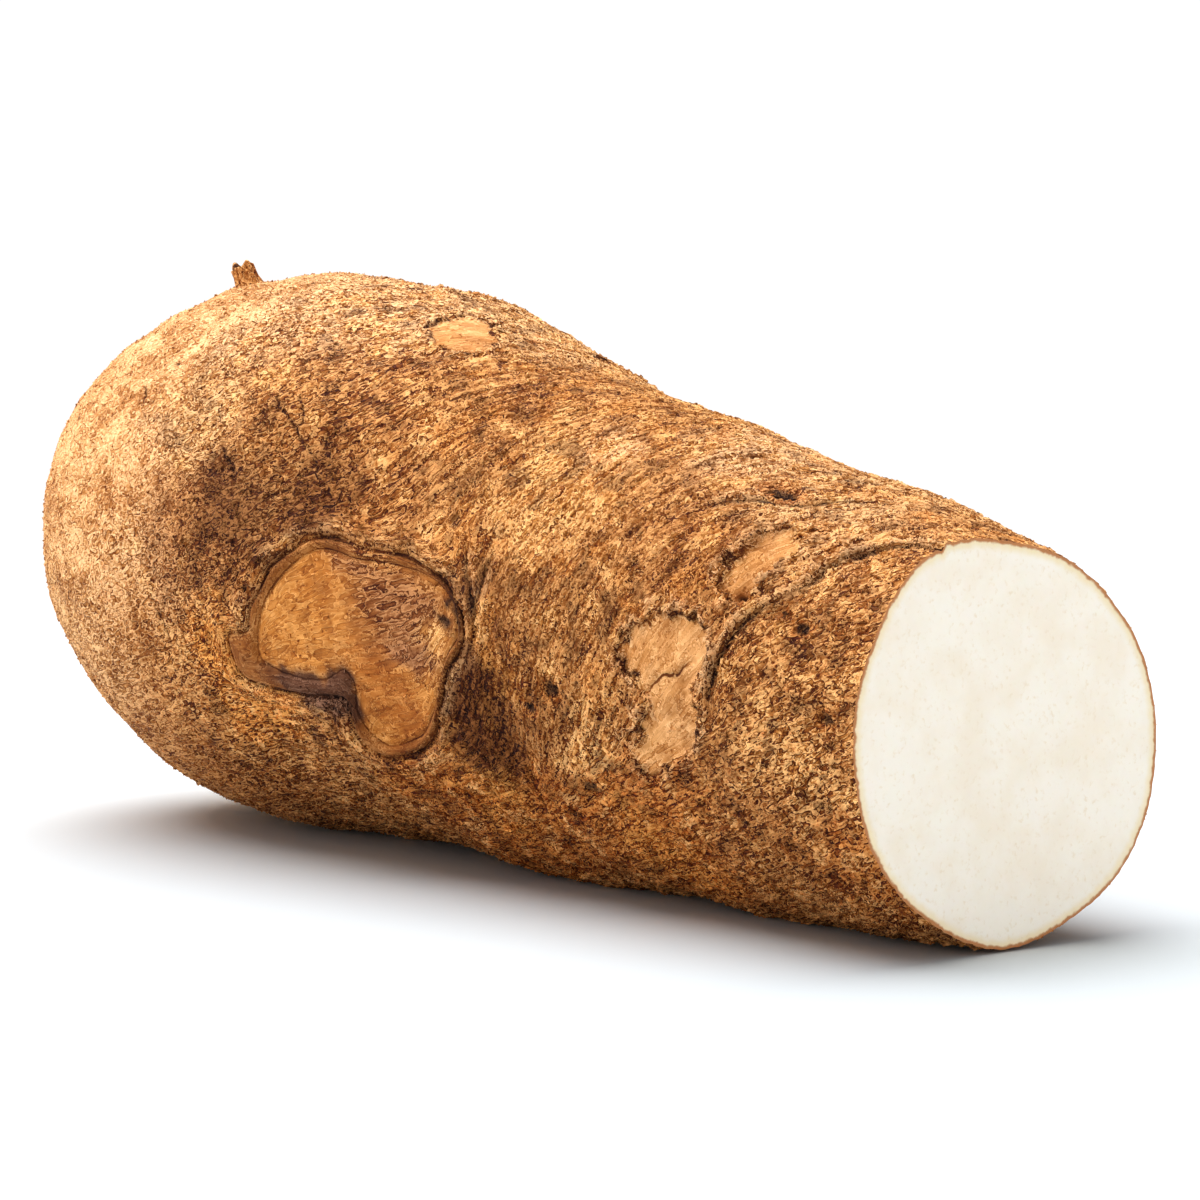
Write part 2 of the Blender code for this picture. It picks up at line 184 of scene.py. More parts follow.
HEALED = ((HEART_AT, HEART_OUTER, HEART_INNER, 0.0010), (BACK_AT, BACK_OUTER, BACK_INNER, 0.0012))
BARE = (
    (FLAT_AT, FLAT_OUTLINE, 0.0011),
    (TOP_AT, TOP_OUTLINE, 0.0006),
    (SHOULDER_AT, SHOULDER_OUTLINE, 0.0014),
    (LOW_AT, LOW_OUTLINE, 0.0011),
)

# Creases, in millimetres: points (along, angle in degrees), depth, and height of the lip beside it
CREASES = (
    (((293.5, 86), (294.5, 80), (297, 72), (302, 62), (311, 54)), 1.2, 0.7),
    (((308, 56), (315, 49), (317.5, 42), (323, 35), (330, 29), (340, 24), (347, 20)), 1.2, 1.0),
    (((273, 40), (281, 34), (290, 29.5), (297, 27), (301, 22), (312, 12)), 0.9, 0.7),
    (((209, 64), (213, 73), (215.6, 78), (217, 83), (214.6, 90)), 1, 0.5),
    (((218.5, 66), (217, 74), (217, 80)), 0.9, 0.4),
    (((228, 150), (233, 172), (230, 196), (222, 214)), 1.2, 0.8),
    (((292, 205), (300, 228), (298, 252), (306, 276)), 1.3, 1.2),
    (((168, 290), (176, 306), (173, 324), (180, 340)), 1.1, 0.8),
    (((60, 222), (82, 232), (100, 226)), 1, 0.5),
)
CREASE_WIDTH = 0.0011

# Thin cracks, in millimetres: half width, then points (along, angle in degrees)
CRACKS = (
    (0.80, ((171, 124.3), (176.5, 123.6), (182, 122), (187, 120.6), (192, 118.8))),
    (0.45, ((134, 51.5), (138, 53), (146, 56), (147.5, 57), (154, 59.5), (157, 62.5))),
    (0.35, ((143, 49.5), (147, 53), (147, 55.5))),
    (0.40, ((123.5, 63.5), (128.5, 66), (133, 69.5))),
    (0.30, ((155.5, 53.5), (157, 57))),
    (0.40, ((142.5, 71.5), (147, 69.5), (151, 67))),
    (0.30, ((81, 51), (83, 53), (84.5, 56))),
    (0.30, ((100, 96), (103, 101), (104, 106))),
    (0.30, ((118, 84), (121, 88), (122, 93))),
    (0.35, ((70, 245), (82, 250), (90, 247))),
    (0.35, ((272, 87), (278, 82), (284, 80), (287, 77))),
    (0.35, ((132, 330), (140, 336), (146, 345))),
)

# The stump of a root: where it grows, how deep it is rooted, and how far it leans in degrees
STUB_AT = (73, 17)
STUB_ROOT = 0.004
STUB_HEIGHT = 0.0046
STUB_RADIUS = 0.0034
STUB_LEAN = 14


def srgb(red, green, blue):
    """A colour written as 0 to 255, in the linear scale that shaders use."""
    shares = (red / 255, green / 255, blue / 255)
    return tuple(c / 12.92 if c < 0.039 else ((c + 0.055) / 1.055) ** 2.4 for c in shares)


PALE_TAN = srgb(216, 156, 98)
TAN = srgb(202, 146, 88)
GREY_TAN = srgb(210, 155, 100)
BROWN = srgb(174, 110, 52)
UMBER = srgb(148, 85, 34)
DARK = srgb(80, 35, 7)
GOLD = srgb(216, 152, 82)
ORANGE = srgb(202, 122, 46)
RUST = srgb(166, 89, 29)
# Near-black brown for grooves, pits, holes and cracks: painted shade in these hollows, partly dirt
GROOVE_SHADE_AND_DIRT = srgb(52, 26, 10)
SCAR_FLOOR = srgb(192, 120, 50)
SCAR_RIM = srgb(146, 86, 36)
BARE_SKIN = srgb(212, 149, 88)
STAIN = srgb(124, 72, 40)
STAIN_DARK = srgb(84, 50, 34)

# Colours of the cut: two creams, its grain, its yellower border and the skin's thin line round it
CREAM = (*srgb(250, 240, 226), 1)
WARM_CREAM = (*srgb(246, 233, 214), 1)
CUT_GRAIN = (*srgb(240, 224, 200), 1)
CUT_BORDER = (*srgb(243, 222, 180), 1)
CUT_SKIN = (*srgb(186, 118, 62), 1)

# Zones of colour, in millimetres: colour, then how far along each is, angle in degrees, reach
TONES = (
    (PALE_TAN, ((10, 60, 45), (50, 70, 40), (85, 85, 30), (235.5, 33.5, 5), (50, 260, 44))),
    (GREY_TAN, ((80, 30, 30), (130, 20, 24), (268, 14, 12), (80, 320, 40))),
    (TAN, ((42, 106, 28), (114, 57, 9), (150, 0, 26), (305, 18, 20), (60, 190, 46), (150, 300, 36),
        (310, 320, 34))),
    (BROWN, ((62, 138, 26), (104, 112, 16), (132, 58, 16), (150, 48, 18), (145, 130, 11), (195, 34, 16),
        (180, 46, 12), (204, 58, 10), (215, 24, 22), (240, 36, 14), (266, 26, 22), (253, 52, 13),
        (258, 70, 12), (240, 82, 12), (333, 12, 18), (318, 64, 16), (334, 84, 12), (305, 140, 20),
        (150, 150, 22), (250, 185, 42), (130, 240, 30), (290, 250, 34))),
    (UMBER, ((100, 140, 26), (120, 82, 15), (165, 62, 16), (178, 50, 14), (205, 27, 11), (277, 54, 14),
        (312, 112, 16), (236, 100, 9), (222, 84, 7), (150, 195, 42), (210, 262, 30))),
    (ORANGE, ((125, 103, 6), (127, 116, 8), (142, 117, 6), (206, 128, 7), (262, 138, 10))),
    # The DARK zones lie mostly in the dent above the heart-shaped scar and in the fold just past its end:
    # painted shade in these hollows
    (DARK, ((130, 74, 9), (158, 68, 9), (219, 98, 15), (208, 111, 10))),
    (GOLD, ((228, 44, 11), (236, 48, 7), (217.5, 41.5, 5), (322, 96, 10), (250, 107, 6), (240, 320, 34))),
    (RUST, ((196, 124, 9), (236, 126, 12), (268, 134, 20), (326, 124, 12), (200, 142, 20),
        (184, 124, 11))),
)

# A zone of this reach in millimetres has a weight of 1, and smaller zones weigh more
EVEN_REACH = 20

# Which way the fibres run, in millimetres: how far along, angle in degrees, reach, then degrees from the
# length towards smaller angles, and how strongly they run that way
RUNS = (
    (30, 60, 60, 30, 0.10),
    (30, 240, 60, 30, 0.10),
    (100, 60, 40, 30, 0.15),
    (90, 150, 40, 10, 0.45),
    (100, 240, 50, 30, 0.20),
    (150, 30, 30, 50, 0.35),
    (165, 62, 20, 30, 0.35),
    (185, 36, 22, 60, 0.80),
    (215, 24, 26, 62, 0.95),
    (250, 34, 26, 64, 1.00),
    (250, 62, 20, 64, 1.00),
    (275, 58, 20, 54, 0.90),
    (228, 84, 16, 72, 1.00),
    (226, 104, 16, 76, 0.90),
    (256, 90, 14, 68, 0.80),
    (305, 24, 24, 46, 0.80),
    (325, 60, 22, 34, 0.25),
    (325, 100, 24, 28, 0.25),
    (270, 128, 24, 24, 0.50),
    (200, 135, 26, 16, 0.70),
    (150, 140, 26, 14, 0.55),
    (200, 180, 60, 20, 0.80),
    (300, 190, 60, 25, 0.80),
    (200, 250, 50, 50, 0.80),
    (280, 280, 50, 45, 1.00),
    (200, 320, 40, 45, 0.90),
    (310, 330, 40, 50, 1.00),
)


def smooth_through(at, values, where):
    """A smooth curve through the values at the stations, read at other places."""
    gap = np.diff(at)
    slope = np.diff(values) / gap
    tangent = np.concatenate(
        [slope[:1], (slope[:-1] * gap[1:] + slope[1:] * gap[:-1]) / (gap[:-1] + gap[1:]), slope[-1:]]
    )
    i = np.clip(np.searchsorted(at, where, side="right") - 1, 0, len(at) - 2)
    t = (where - at[i]) / gap[i]
    return (
        values[i] * (1 + 2 * t) * (1 - t) ** 2
        + tangent[i] * gap[i] * t * (1 - t) ** 2
        + values[i + 1] * t * t * (3 - 2 * t)
        + tangent[i + 1] * gap[i] * t * t * (t - 1)
    )


def section_at(along):
    """The section's centre (y, z) and its reach up, down, towards -Y and towards +Y."""
    table = np.array(SECTIONS)
    top, bottom, near, far = (smooth_through(table[:, 0], table[:, k], along) for k in (1, 2, 3, 4))
    to_tip = np.clip(1 - along / CAP, 0, 1)
    fullness = (1 - to_tip**CAP_POWER) ** (1 / CAP_POWER)
    middle = (top + bottom) / 2
    blend = to_tip**2
    y = TIP_SIDE * blend + SIDE_SHIFT
    z = middle * (1 - blend) + TIP_HEIGHT * blend
    return y, z, (top - middle) * fullness, (middle - bottom) * fullness, near * fullness, far * fullness


def bare_point(along, angle):
    """The skin without its relief: each quarter of a section is a quarter ellipse, and SKEW leans it."""
    y, z, up, down, near, far = section_at(along)
    c, s = np.cos(angle), np.sin(angle)
    lean = 1 + SKEW * np.sin(2 * angle)
    across = y - np.where(s > 0, near, far) * s * lean
    return np.stack([along - LENGTH / 2, across, z + np.where(c > 0, up, down) * c * lean], axis=-1)


def unit(vectors):
    """The vectors at a length of 1."""
    return vectors / np.maximum(np.linalg.norm(vectors, axis=-1, keepdims=True), 1e-12)


def directions(along, angle):
    """The unit normal of the skin, and the unit directions along it and round it."""
    step, turn = 0.0005, 0.01
    inner = np.maximum(along, 2 * step)
    down = unit(bare_point(inner + step, angle) - bare_point(inner - step, angle))
    round_it = unit(bare_point(inner, angle + turn) - bare_point(inner, angle - turn))
    to_tip = np.clip(1 - along / (8 * step), 0, 1)[..., None]
    normal = unit(np.cross(round_it, down)) * (1 - to_tip) + np.array([-1.0, 0.0, 0.0]) * to_tip
    return unit(normal), down, round_it


def about(place, along, angle):
    """Distances along and round the skin from a place on it, given in millimetres and degrees."""
    _, _, up, down, near, far = section_at(np.array([place[0] * MM]))
    radius = float((up + down + near + far)[0]) / 4
    turn = (angle - math.radians(place[1]) + math.pi) % (2 * math.pi) - math.pi
    return along - place[0] * MM, radius * turn


def rounded(points, closed, steps=4):
    """A Catmull-Rom curve through the points."""
    p = np.array(points, float)
    if closed:
        p = np.concatenate([p[-1:], p, p[:2]])
    else:
        p = np.concatenate([2 * p[:1] - p[1:2], p, 2 * p[-1:] - p[-2:-1]])
    t = np.linspace(0, 1, steps, endpoint=False)[:, None]
    curve = [
        0.5 * (2 * b + (c - a) * t + (2 * a - 5 * b + 4 * c - d) * t**2 + (3 * b - a - 3 * c + d) * t**3)
        for a, b, c, d in zip(p[:-3], p[1:-2], p[2:-1], p[3:])
    ]
    return np.concatenate(curve if closed else [*curve, p[-2:-1]])


def nearest(curve, u, v, closed):
    """Distance from the curve, its side as a sign, the share of its length, and its direction there."""
    ends = np.roll(curve, -1, 0) if closed else curve[1:]
    starts = curve if closed else curve[:-1]
    best = np.full(np.shape(u), 1e9)
    side, share, run_u, run_v = (np.ones(np.shape(u)) for _ in range(4))
    for k, (a, b) in enumerate(zip(starts, ends)):
        d = b - a
        t = np.clip(((u - a[0]) * d[0] + (v - a[1]) * d[1]) / (d @ d), 0, 1)
        away_u, away_v = u - a[0] - t * d[0], v - a[1] - t * d[1]
        distance = np.hypot(away_u, away_v)
        closer = distance < best
        best = np.where(closer, distance, best)
        side = np.where(closer, np.where(d[0] * away_v - d[1] * away_u > 0, 1.0, -1.0), side)
        share = np.where(closer, (k + t) / len(starts), share)
        run_u = np.where(closer, d[0], run_u)
        run_v = np.where(closer, d[1], run_v)
    return best, side, share, run_u, run_v


def inside(curve, u, v):
    """Whether each place lies inside a closed curve, by counting crossings."""
    crossings = np.zeros(np.shape(u), int)
    for a, b in zip(curve, np.roll(curve, -1, 0)):
        spans = (a[1] > v) != (b[1] > v)
        at = a[0] + (v - a[1]) * (b[0] - a[0]) / (b[1] - a[1] + 1e-12)
        crossings += spans & (u < at)
    return crossings % 2 == 1


def ridge(distance, width):
    """1 on a line, and down to 0 within about two widths of it."""
    return np.exp(-((distance / width) ** 2))


def spot(u, v, half_u, half_v):
    """1 in the middle of an oval, and down to 0 around it."""
    return np.exp(-((u / half_u) ** 2) - (v / half_v) ** 2)


def step_down(distance, width):
    """1 well inside an edge, 0 outside it."""
    return 1 / (1 + np.exp(np.clip(distance / width, -40, 40)))


def ramp(value, low, high):
    """0 below low, 1 above high, and smooth between."""
    t = np.clip((value - low) / (high - low), 0, 1)
    return t * t * (3 - 2 * t)


# How soon one colour gives way to another across a scar's edge
EDGE_WIDTH = 0.0003

# Noise
DICE = np.random.default_rng(11)
SHUFFLE = DICE.permutation(256)
SLOPES = unit(DICE.normal(size=(256, 3)))
JITTER = DICE.uniform(size=(256, 3))


def corner_index(cell):
    """A random but repeatable number from 0 to 255 for each cell of a grid."""
    first = SHUFFLE[cell[..., 0] & 255]
    second = SHUFFLE[(first + cell[..., 1]) & 255]
    return SHUFFLE[(second + cell[..., 2]) & 255]


def noise(points, size, seed):
    """Smooth noise, mostly from -1 to 1, with features of the given size."""
    p = points / size + 31.7 * (seed + 1)
    cell = np.floor(p).astype(int)
    f = p - cell
    fade = f * f * f * (f * (f * 6 - 15) + 10)
    total = np.zeros(p.shape[:-1])
    for corner in itertools.product((0, 1), repeat=3):
        weight = np.prod(np.where(np.array(corner) == 1, fade, 1 - fade), axis=-1)
        slope = SLOPES[corner_index(cell + corner)]
        total += weight * np.sum(slope * (f - corner), axis=-1)
    return 2.0 * total


def plates(points, size, seed):
    """How far inside its cell each point is, in cells, and a random number from 0 to 1 for the cell."""
    p = points / size + 31.7 * (seed + 1)
    cell = np.floor(p).astype(int)
    first, second = np.full(p.shape[:-1], 9.0), np.full(p.shape[:-1], 9.0)
    lot = np.zeros(p.shape[:-1])
    for corner in itertools.product((-1, 0, 1), repeat=3):
        index = corner_index(cell + corner)
        distance = np.linalg.norm(cell + corner + JITTER[index] - p, axis=-1)
        lot = np.where(distance < first, index / 255, lot)
        second = np.where(distance < first, first, np.minimum(second, distance))
        first = np.minimum(first, distance)
    return second - first, lot


def streaks(points, flow, length, width, seed):
    """Noise drawn out along the flow."""
    taps = np.linspace(-0.5, 0.5, 7)
    weights = np.cos(taps * 2.4)
    total = sum(w * noise(points + flow * (t * length), width, seed) for t, w in zip(taps, weights))
    return 1.8 * total / weights.sum()


class Skin:
    """The skin at a set of places: its shape, its fibres, its marks and its colour."""

    def __init__(self, along, angle):
        self.along, self.angle = along, angle
        self.normal, self.down, self.round_it = directions(along, angle)
        self.base = bare_point(along, angle)
        self.smooth = np.zeros(along.shape)
        self.line = np.full(along.shape, 9.0)
        self.line_width = np.ones(along.shape)
        self.line_darkness = np.zeros(along.shape)
        self.height = np.zeros(along.shape)
        self.run_u, self.run_v = self.fibre_run()
        self.tone = self.zone_colour()
        self.swells()
        for scar in HEALED:
            self.healed_scar(*scar)
        for scar in BARE:
            self.bare_scar(*scar)
        for crease in CREASES:
            self.crease(*crease)
        for crack in CRACKS:
            self.crack(*crack)
        self.flow = self.down * self.run_u[..., None] + self.round_it * self.run_v[..., None]
        self.grain()
        self.pits()
        self.heart_marks()
        points = self.base + self.normal * self.height[..., None]
        points[..., 2] = np.maximum(points[..., 2] - SINK, 0)
        self.points = points

    def near(self, place):
        """Distances of these places along and round the skin from another."""
        return about(place, self.along, self.angle)

    def fibre_run(self):
        """The direction of the fibres as parts along and round, as long as they are strong."""
        total_u, total_v, weight = (np.full(self.along.shape, 1e-9) for _ in range(3))
        for at, turn, reach, degrees, strength in RUNS:
            u, v = self.near((at, turn))
            w = np.exp(-(u * u + v * v) / (reach * MM) ** 2)
            total_u += w * strength * math.cos(math.radians(degrees))
            total_v -= w * strength * math.sin(math.radians(degrees))
            weight += w
        return total_u / weight, total_v / weight

    def zone_colour(self):
        """The colours of the zones, blended with ragged borders."""
        wander = 5 * MM * noise(self.base, 0.014, 2) + 2.5 * MM * noise(self.base, 0.005, 3)
        wander_round = 5 * MM * noise(self.base, 0.014, 4) + 2.5 * MM * noise(self.base, 0.005, 5)
        total, weight = np.zeros((*self.along.shape, 3)), np.full(self.along.shape, 1e-9)
        for colour, spots in TONES:
            for at, turn, reach in spots:
                u, v = self.near((at, turn))
                away = ((u + wander) ** 2 + (v + wander_round) ** 2) / (reach * MM) ** 2
                w = (EVEN_REACH / reach) ** 2 * np.exp(-away)
                total += w[..., None] * np.array(colour)
                weight += w
        return total / weight[..., None]

    def blend(self, colour, share):
        """Moves the tone towards a colour by a share from 0 to 1."""
        share = np.clip(share, 0, 1)[..., None]
        self.tone = self.tone * (1 - share) + np.array(colour) * share

    def draw_line(self, signed_mm, half_width_mm, strength):
        """Notes the nearest thin dark line, for the shader to draw sharply: a crack, or painted shade along
        a groove or at the foot of an edge.
        """
        closer = (np.abs(signed_mm) < np.abs(self.line)) & (strength > 0.01)
        self.line = np.where(closer, signed_mm, self.line)
        self.line_width = np.where(closer, half_width_mm, self.line_width)
        self.line_darkness = np.where(closer, strength, self.line_darkness)

    def swells(self):
        """Slow waves round and along the tuber, and its larger bulges and hollows."""
        for size, round_waves, long_waves, phase in SWELLS:
            fade = np.clip(self.along / CAP, 0, 1)
            turns = 2 * math.pi * long_waves * self.along / LENGTH
            self.height += size * fade * np.sin(round_waves * self.angle + turns + phase)
        for at, turn, half_length, half_width, size in LUMPS:
            u, v = self.near((at, turn))
            self.height += size * MM * spot(u, v, half_length * MM, half_width * MM)

    def edge(self, place, outline, ragged=0.0):
        """Distance outside an outline in metres, negative inside it. Fibres turn to run beside it."""
        u, v = self.near(place)
        u = u + ragged * noise(self.base, 0.003, 6)
        v = v + ragged * noise(self.base, 0.003, 7)
        curve = rounded(np.array(outline) * MM, closed=True)
        distance, _, _, run_u, run_v = nearest(curve, u, v, closed=True)
        return np.where(inside(curve, u, v), -distance, distance), run_u, run_v

    def turn_fibres(self, run_u, run_v, share, strength):
        """Turns the fibres towards another direction, whichever way round is nearer."""
        size = np.hypot(run_u, run_v) + 1e-12
        sign = np.where(run_u * self.run_u + run_v * self.run_v < 0, -1.0, 1.0)
        self.run_u = self.run_u * (1 - share) + sign * run_u / size * share * strength
        self.run_v = self.run_v * (1 - share) + sign * run_v / size * share * strength

    def healed_scar(self, place, outer, inner, floor):
        """A floor of new skin in a low rim, a groove each side of the rim, and a roll of bark round it."""
        d, run_u, run_v = self.edge(place, outer)
        d_in, _, _ = self.edge(place, inner)
        band = np.clip(-4 * d * d_in / np.maximum(d_in - d, 1e-5) ** 2, 0, 1) * (d < 0) * (d_in > 0)
        self.height += 0.0009 * ridge(d - 0.0030, 0.0024) - 0.0012 * ridge(d, 0.0008)
        self.height += 0.0006 * band - 0.0006 * ridge(d_in, 0.0007) - floor * step_down(d_in, 0.0012)
        self.turn_fibres(run_u, run_v, 0.9 * ridge(d, 0.006), 0.8)
        self.colour_healed_scar(d, d_in)

    def colour_healed_scar(self, d, d_in):
        """Colours a healed scar from the distances outside its outer and inner outlines."""
        in_floor = step_down(d_in, EDGE_WIDTH)
        in_rim = step_down(d, EDGE_WIDTH) * (1 - in_floor)
        uneven = np.clip(0.6 + 0.5 * noise(self.base, 0.010, 23), 0, 1)
        self.blend(TAN, 0.35 * ridge(d - 0.0024, 0.0014) * uneven)
        self.blend(SCAR_RIM, in_rim)
        self.blend(SCAR_FLOOR, in_floor)
        blotches = ramp(noise(self.base, 0.004, 29), 0.0, 0.8)
        flecks = ramp(noise(self.base, 0.0013, 30), 0.2, 0.8)
        self.blend(UMBER, 0.7 * (0.4 * blotches + 0.6 * flecks) * in_floor)
        self.blend(UMBER, 0.7 * in_rim * step_down(d_in - 0.0012, 0.0008) * uneven)
        # Painted shade in the grooves at the outer and inner edges, which the thin dark lines below deepen
        self.blend(GROOVE_SHADE_AND_DIRT, 0.7 * uneven * ridge(d, 0.0010) + 0.4 * uneven * ridge(d_in, 0.0006))
        self.smooth = np.maximum(self.smooth, 0.68 * step_down(d, 0.0004))
        self.draw_line(d / MM, 0.50, 0.3 + 0.7 * uneven)
        self.draw_line(d_in / MM, 0.22, 0.8 * uneven)

    def bare_scar(self, place, outline, floor):
        """A sunk patch where bark has come away, with a ragged, partly raised edge, paler on top as a
        painted highlight and dark at its foot as painted shadow.
        """
        d, _, _ = self.edge(place, outline, ragged=0.0020)
        bare = step_down(d + 0.0004, EDGE_WIDTH)
        uneven = ramp(noise(self.base, 0.007, 8), -0.80, 0.30)
        self.height += (0.3 + 0.7 * uneven) * 0.0011 * ridge(d - 0.0011, 0.0010)
        self.height -= floor * step_down(d + 0.0002, EDGE_WIDTH)
        # Painted highlight on the raised edge; the groove colour and the thin dark line at its foot are
        # painted shadow cast onto the patch
        self.blend(PALE_TAN, 0.75 * uneven * ridge(d - 0.0012, 0.0008))
        self.blend(BARE_SKIN, bare)
        blotches = ramp(noise(self.base, 0.006, 24), 0.0, 0.7)
        flecks = ramp(noise(self.base, 0.0022, 28), 0.1, 0.8)
        self.blend(BROWN, 0.9 * bare * (0.5 * blotches + 0.5 * flecks))
        self.blend(GROOVE_SHADE_AND_DIRT, 0.75 * uneven * ridge(d + 0.0002, 0.0006))
        self.smooth = np.maximum(self.smooth, 0.70 * step_down(d + 0.0008, EDGE_WIDTH))
        self.draw_line((d + 0.0002) / MM, 0.50, uneven)

    def line_through(self, places):
        """Signed distance from a line, positive on the side of larger angles, its taper, and its run."""
        middle = places[len(places) // 2]
        u, v = self.near(middle)
        at, turn = np.array(places).T
        points = np.stack(about(middle, at * MM, np.radians(turn)), axis=-1)
        curve = rounded(points, closed=False)
        distance, side, share, run_u, run_v = nearest(curve, u, v, closed=False)
        return distance * side, np.sqrt(np.sin(math.pi * np.clip(share, 0.02, 0.98))), run_u, run_v

    def crease(self, places, depth, lip):
        """A groove with a raised lip on the side of smaller angles: the lip is painted pale as a painted
        highlight, and the groove dark as painted shade.
        """
        d, taper, run_u, run_v = self.line_through(places)
        w = CREASE_WIDTH
        self.height += MM * taper * (lip * ridge(d + 1.7 * w, w) - depth * ridge(d, 0.8 * w))
        self.turn_fibres(run_u, run_v, 0.8 * ridge(d, 0.004), 0.9)
        # Painted highlight on the lip and painted shade in the groove
        self.blend(PALE_TAN, 0.8 * lip * taper * ridge(d + 1.6 * w, 0.7 * w))
        self.blend(GROOVE_SHADE_AND_DIRT, 0.95 * taper * ridge(d - 0.2 * w, 1.0 * w))
        self.draw_line(d / MM, 0.4, taper)

    def crack(self, half_width_mm, places):
        """A thin dark line with a shallow dip under it."""
        d, taper, _, _ = self.line_through(places)
        d = d + 0.0006 * noise(self.base, 0.003, 9)
        self.height -= 0.0004 * taper * ridge(d, 0.0007)
        self.blend(GROOVE_SHADE_AND_DIRT, 0.4 * taper * ridge(d, 0.0007))
        self.draw_line(d / MM, half_width_mm, taper)

    def grain(self):
        """The bark's relief: plates on the round end, ridges of fibre on the neck, blobs near the cut."""
        here = self.base
        neck = ramp(np.hypot(self.run_u, self.run_v), 0.25, 0.75)
        bulb = 1 - neck
        rough = 1 - self.smooth
        front = 0.5 + 0.5 * np.cos(self.angle - math.radians(90))
        blobby = ramp(self.along, 0.292, 0.312) * ramp(front, 0.35, 0.75)
        scaly = ramp(self.along, 0.095, 0.125) * bulb
        by_cut = 1 - 0.7 * ramp(self.along, LENGTH - 0.005, LENGTH)
        slow = 0.5 * MM * noise(here, 0.012, 10) + 0.22 * MM * noise(here, 0.005, 11)
        ridges = streaks(here, self.flow, 0.008, 0.0019, 12)
        fine = streaks(here, self.flow, 0.004, 0.0010, 13)
        inner, lot = plates(here + 0.001 * noise(here, 0.003, 14)[..., None], 0.0032, 15)
        gap = 1 - ramp(inner, 0.0, 0.14)
        blobs = noise(here, 0.0026, 16)
        plate_height = 0.20 * MM * (lot - 0.5) - 0.14 * MM * gap
        grain = neck * (0.60 * MM * ridges + 0.28 * MM * fine)
        grain += bulb * (plate_height * (0.55 + 0.8 * scaly) + (0.14 + 0.16 * scaly) * MM * fine)
        grain += blobby * 0.6 * MM * blobs
        self.height += by_cut * rough * (slow + grain)
        # Paler on crests and darker in the gaps between plates and fibres: painted light and shade that
        # follow the relief, partly worn tips and dirt in the gaps
        crest = neck * (0.75 * ridges + 0.50 * fine) + blobby * 0.6 * blobs
        crest += bulb * ((0.30 + 0.45 * scaly) * fine + 0.35 * (lot - 0.5) - (0.30 + 0.2 * scaly) * gap)
        patches = 0.58 * noise(here, 0.013, 17) + 0.62 * noise(here, 0.0055, 18)
        self.shade = 0.75 * rough * crest + (0.30 + 0.70 * rough) * patches
        self.weather(neck, rough)

    def weather(self, neck, rough):
        """How rough the bark looks, stronger on the underside as painted light and shade, and the patches
        where it is warmer, peeled pale or dark.
        """
        here = self.base
        pale_end = 1 - ramp(self.along + 0.016 * noise(here, 0.02, 27), 0.080, 0.124)
        # The painted lips and gaps are up to 60% stronger on the underside: painted highlight and shade
        # where the lamps show little relief
        below = ramp(-self.normal[..., 2], -0.35, 0.35)
        self.texture = rough**2 * (1 - 0.62 * pale_end) * (1 + 0.6 * below)
        self.blend(ORANGE, 0.35 * ramp(noise(here, 0.009, 19), 0.15, 0.7) * neck * rough)
        peeled = noise(here, 0.0065, 31) + 0.35 * noise(here, 0.0020, 32)
        barky = rough * (1 - pale_end)
        pale = ramp(self.tone.mean(axis=-1), 0.07, 0.20)
        self.blend(GOLD, 0.60 * barky * pale * ramp(peeled, 0.34, 0.50))
        self.blend(DARK, 0.50 * barky * ramp(-peeled, 0.30, 0.55))

    def pits(self):
        """Small ragged pits, rusty at the rim and dark inside with painted shade, partly dirt."""
        ragged_u = 0.0006 * noise(self.base, 0.0018, 25)
        ragged_v = 0.0006 * noise(self.base, 0.0018, 26)
        for at, turn, half_length, half_width, depth in PITS:
            u, v = self.near((at, turn))
            shape = spot(u + ragged_u, v + ragged_v, half_length * MM, half_width * MM)
            self.height -= depth * MM * shape
            self.blend(RUST, 0.6 * ramp(shape, 0.10, 0.35))
            self.blend(GROOVE_SHADE_AND_DIRT, 0.95 * ramp(shape, 0.40, 0.80))

    def heart_marks(self):
        """The stains, fibres and rays in the heart-shaped scar."""
        d, _, _ = self.edge(HEART_AT, HEART_INNER)
        within = step_down(d + 0.0003, 0.0004)
        u, v = self.near(HEART_AT)
        u, v = u / MM + 2 * noise(self.base, 0.004, 20), v / MM + 2 * noise(self.base, 0.004, 21)

        def mark(at_u, at_v, half_u, half_v):
            return spot(u - at_u, v - at_v, half_u, half_v)

        fibrous = np.clip(1.4 * mark(19, -13, 15, 9) + mark(1, -21, 9, 3), 0, 1)
        self.blend(UMBER, within * 0.9 * fibrous)
        self.blend(STAIN, within * np.clip(0.8 * mark(20, -1, 14, 4.5) + 0.6 * fibrous, 0, 1))
        self.blend(RUST, within * 0.6 * np.clip(mark(8, 6, 10, 8) + 1.2 * mark(14, 17, 10, 10), 0, 1))
        self.blend(GOLD, 0.9 * within * mark(30, -9, 5, 3))
        grown_over = np.clip(within * (fibrous + mark(24, 0, 10, 6)), 0, 1)
        self.texture = np.maximum(self.texture, 0.7 * grown_over)
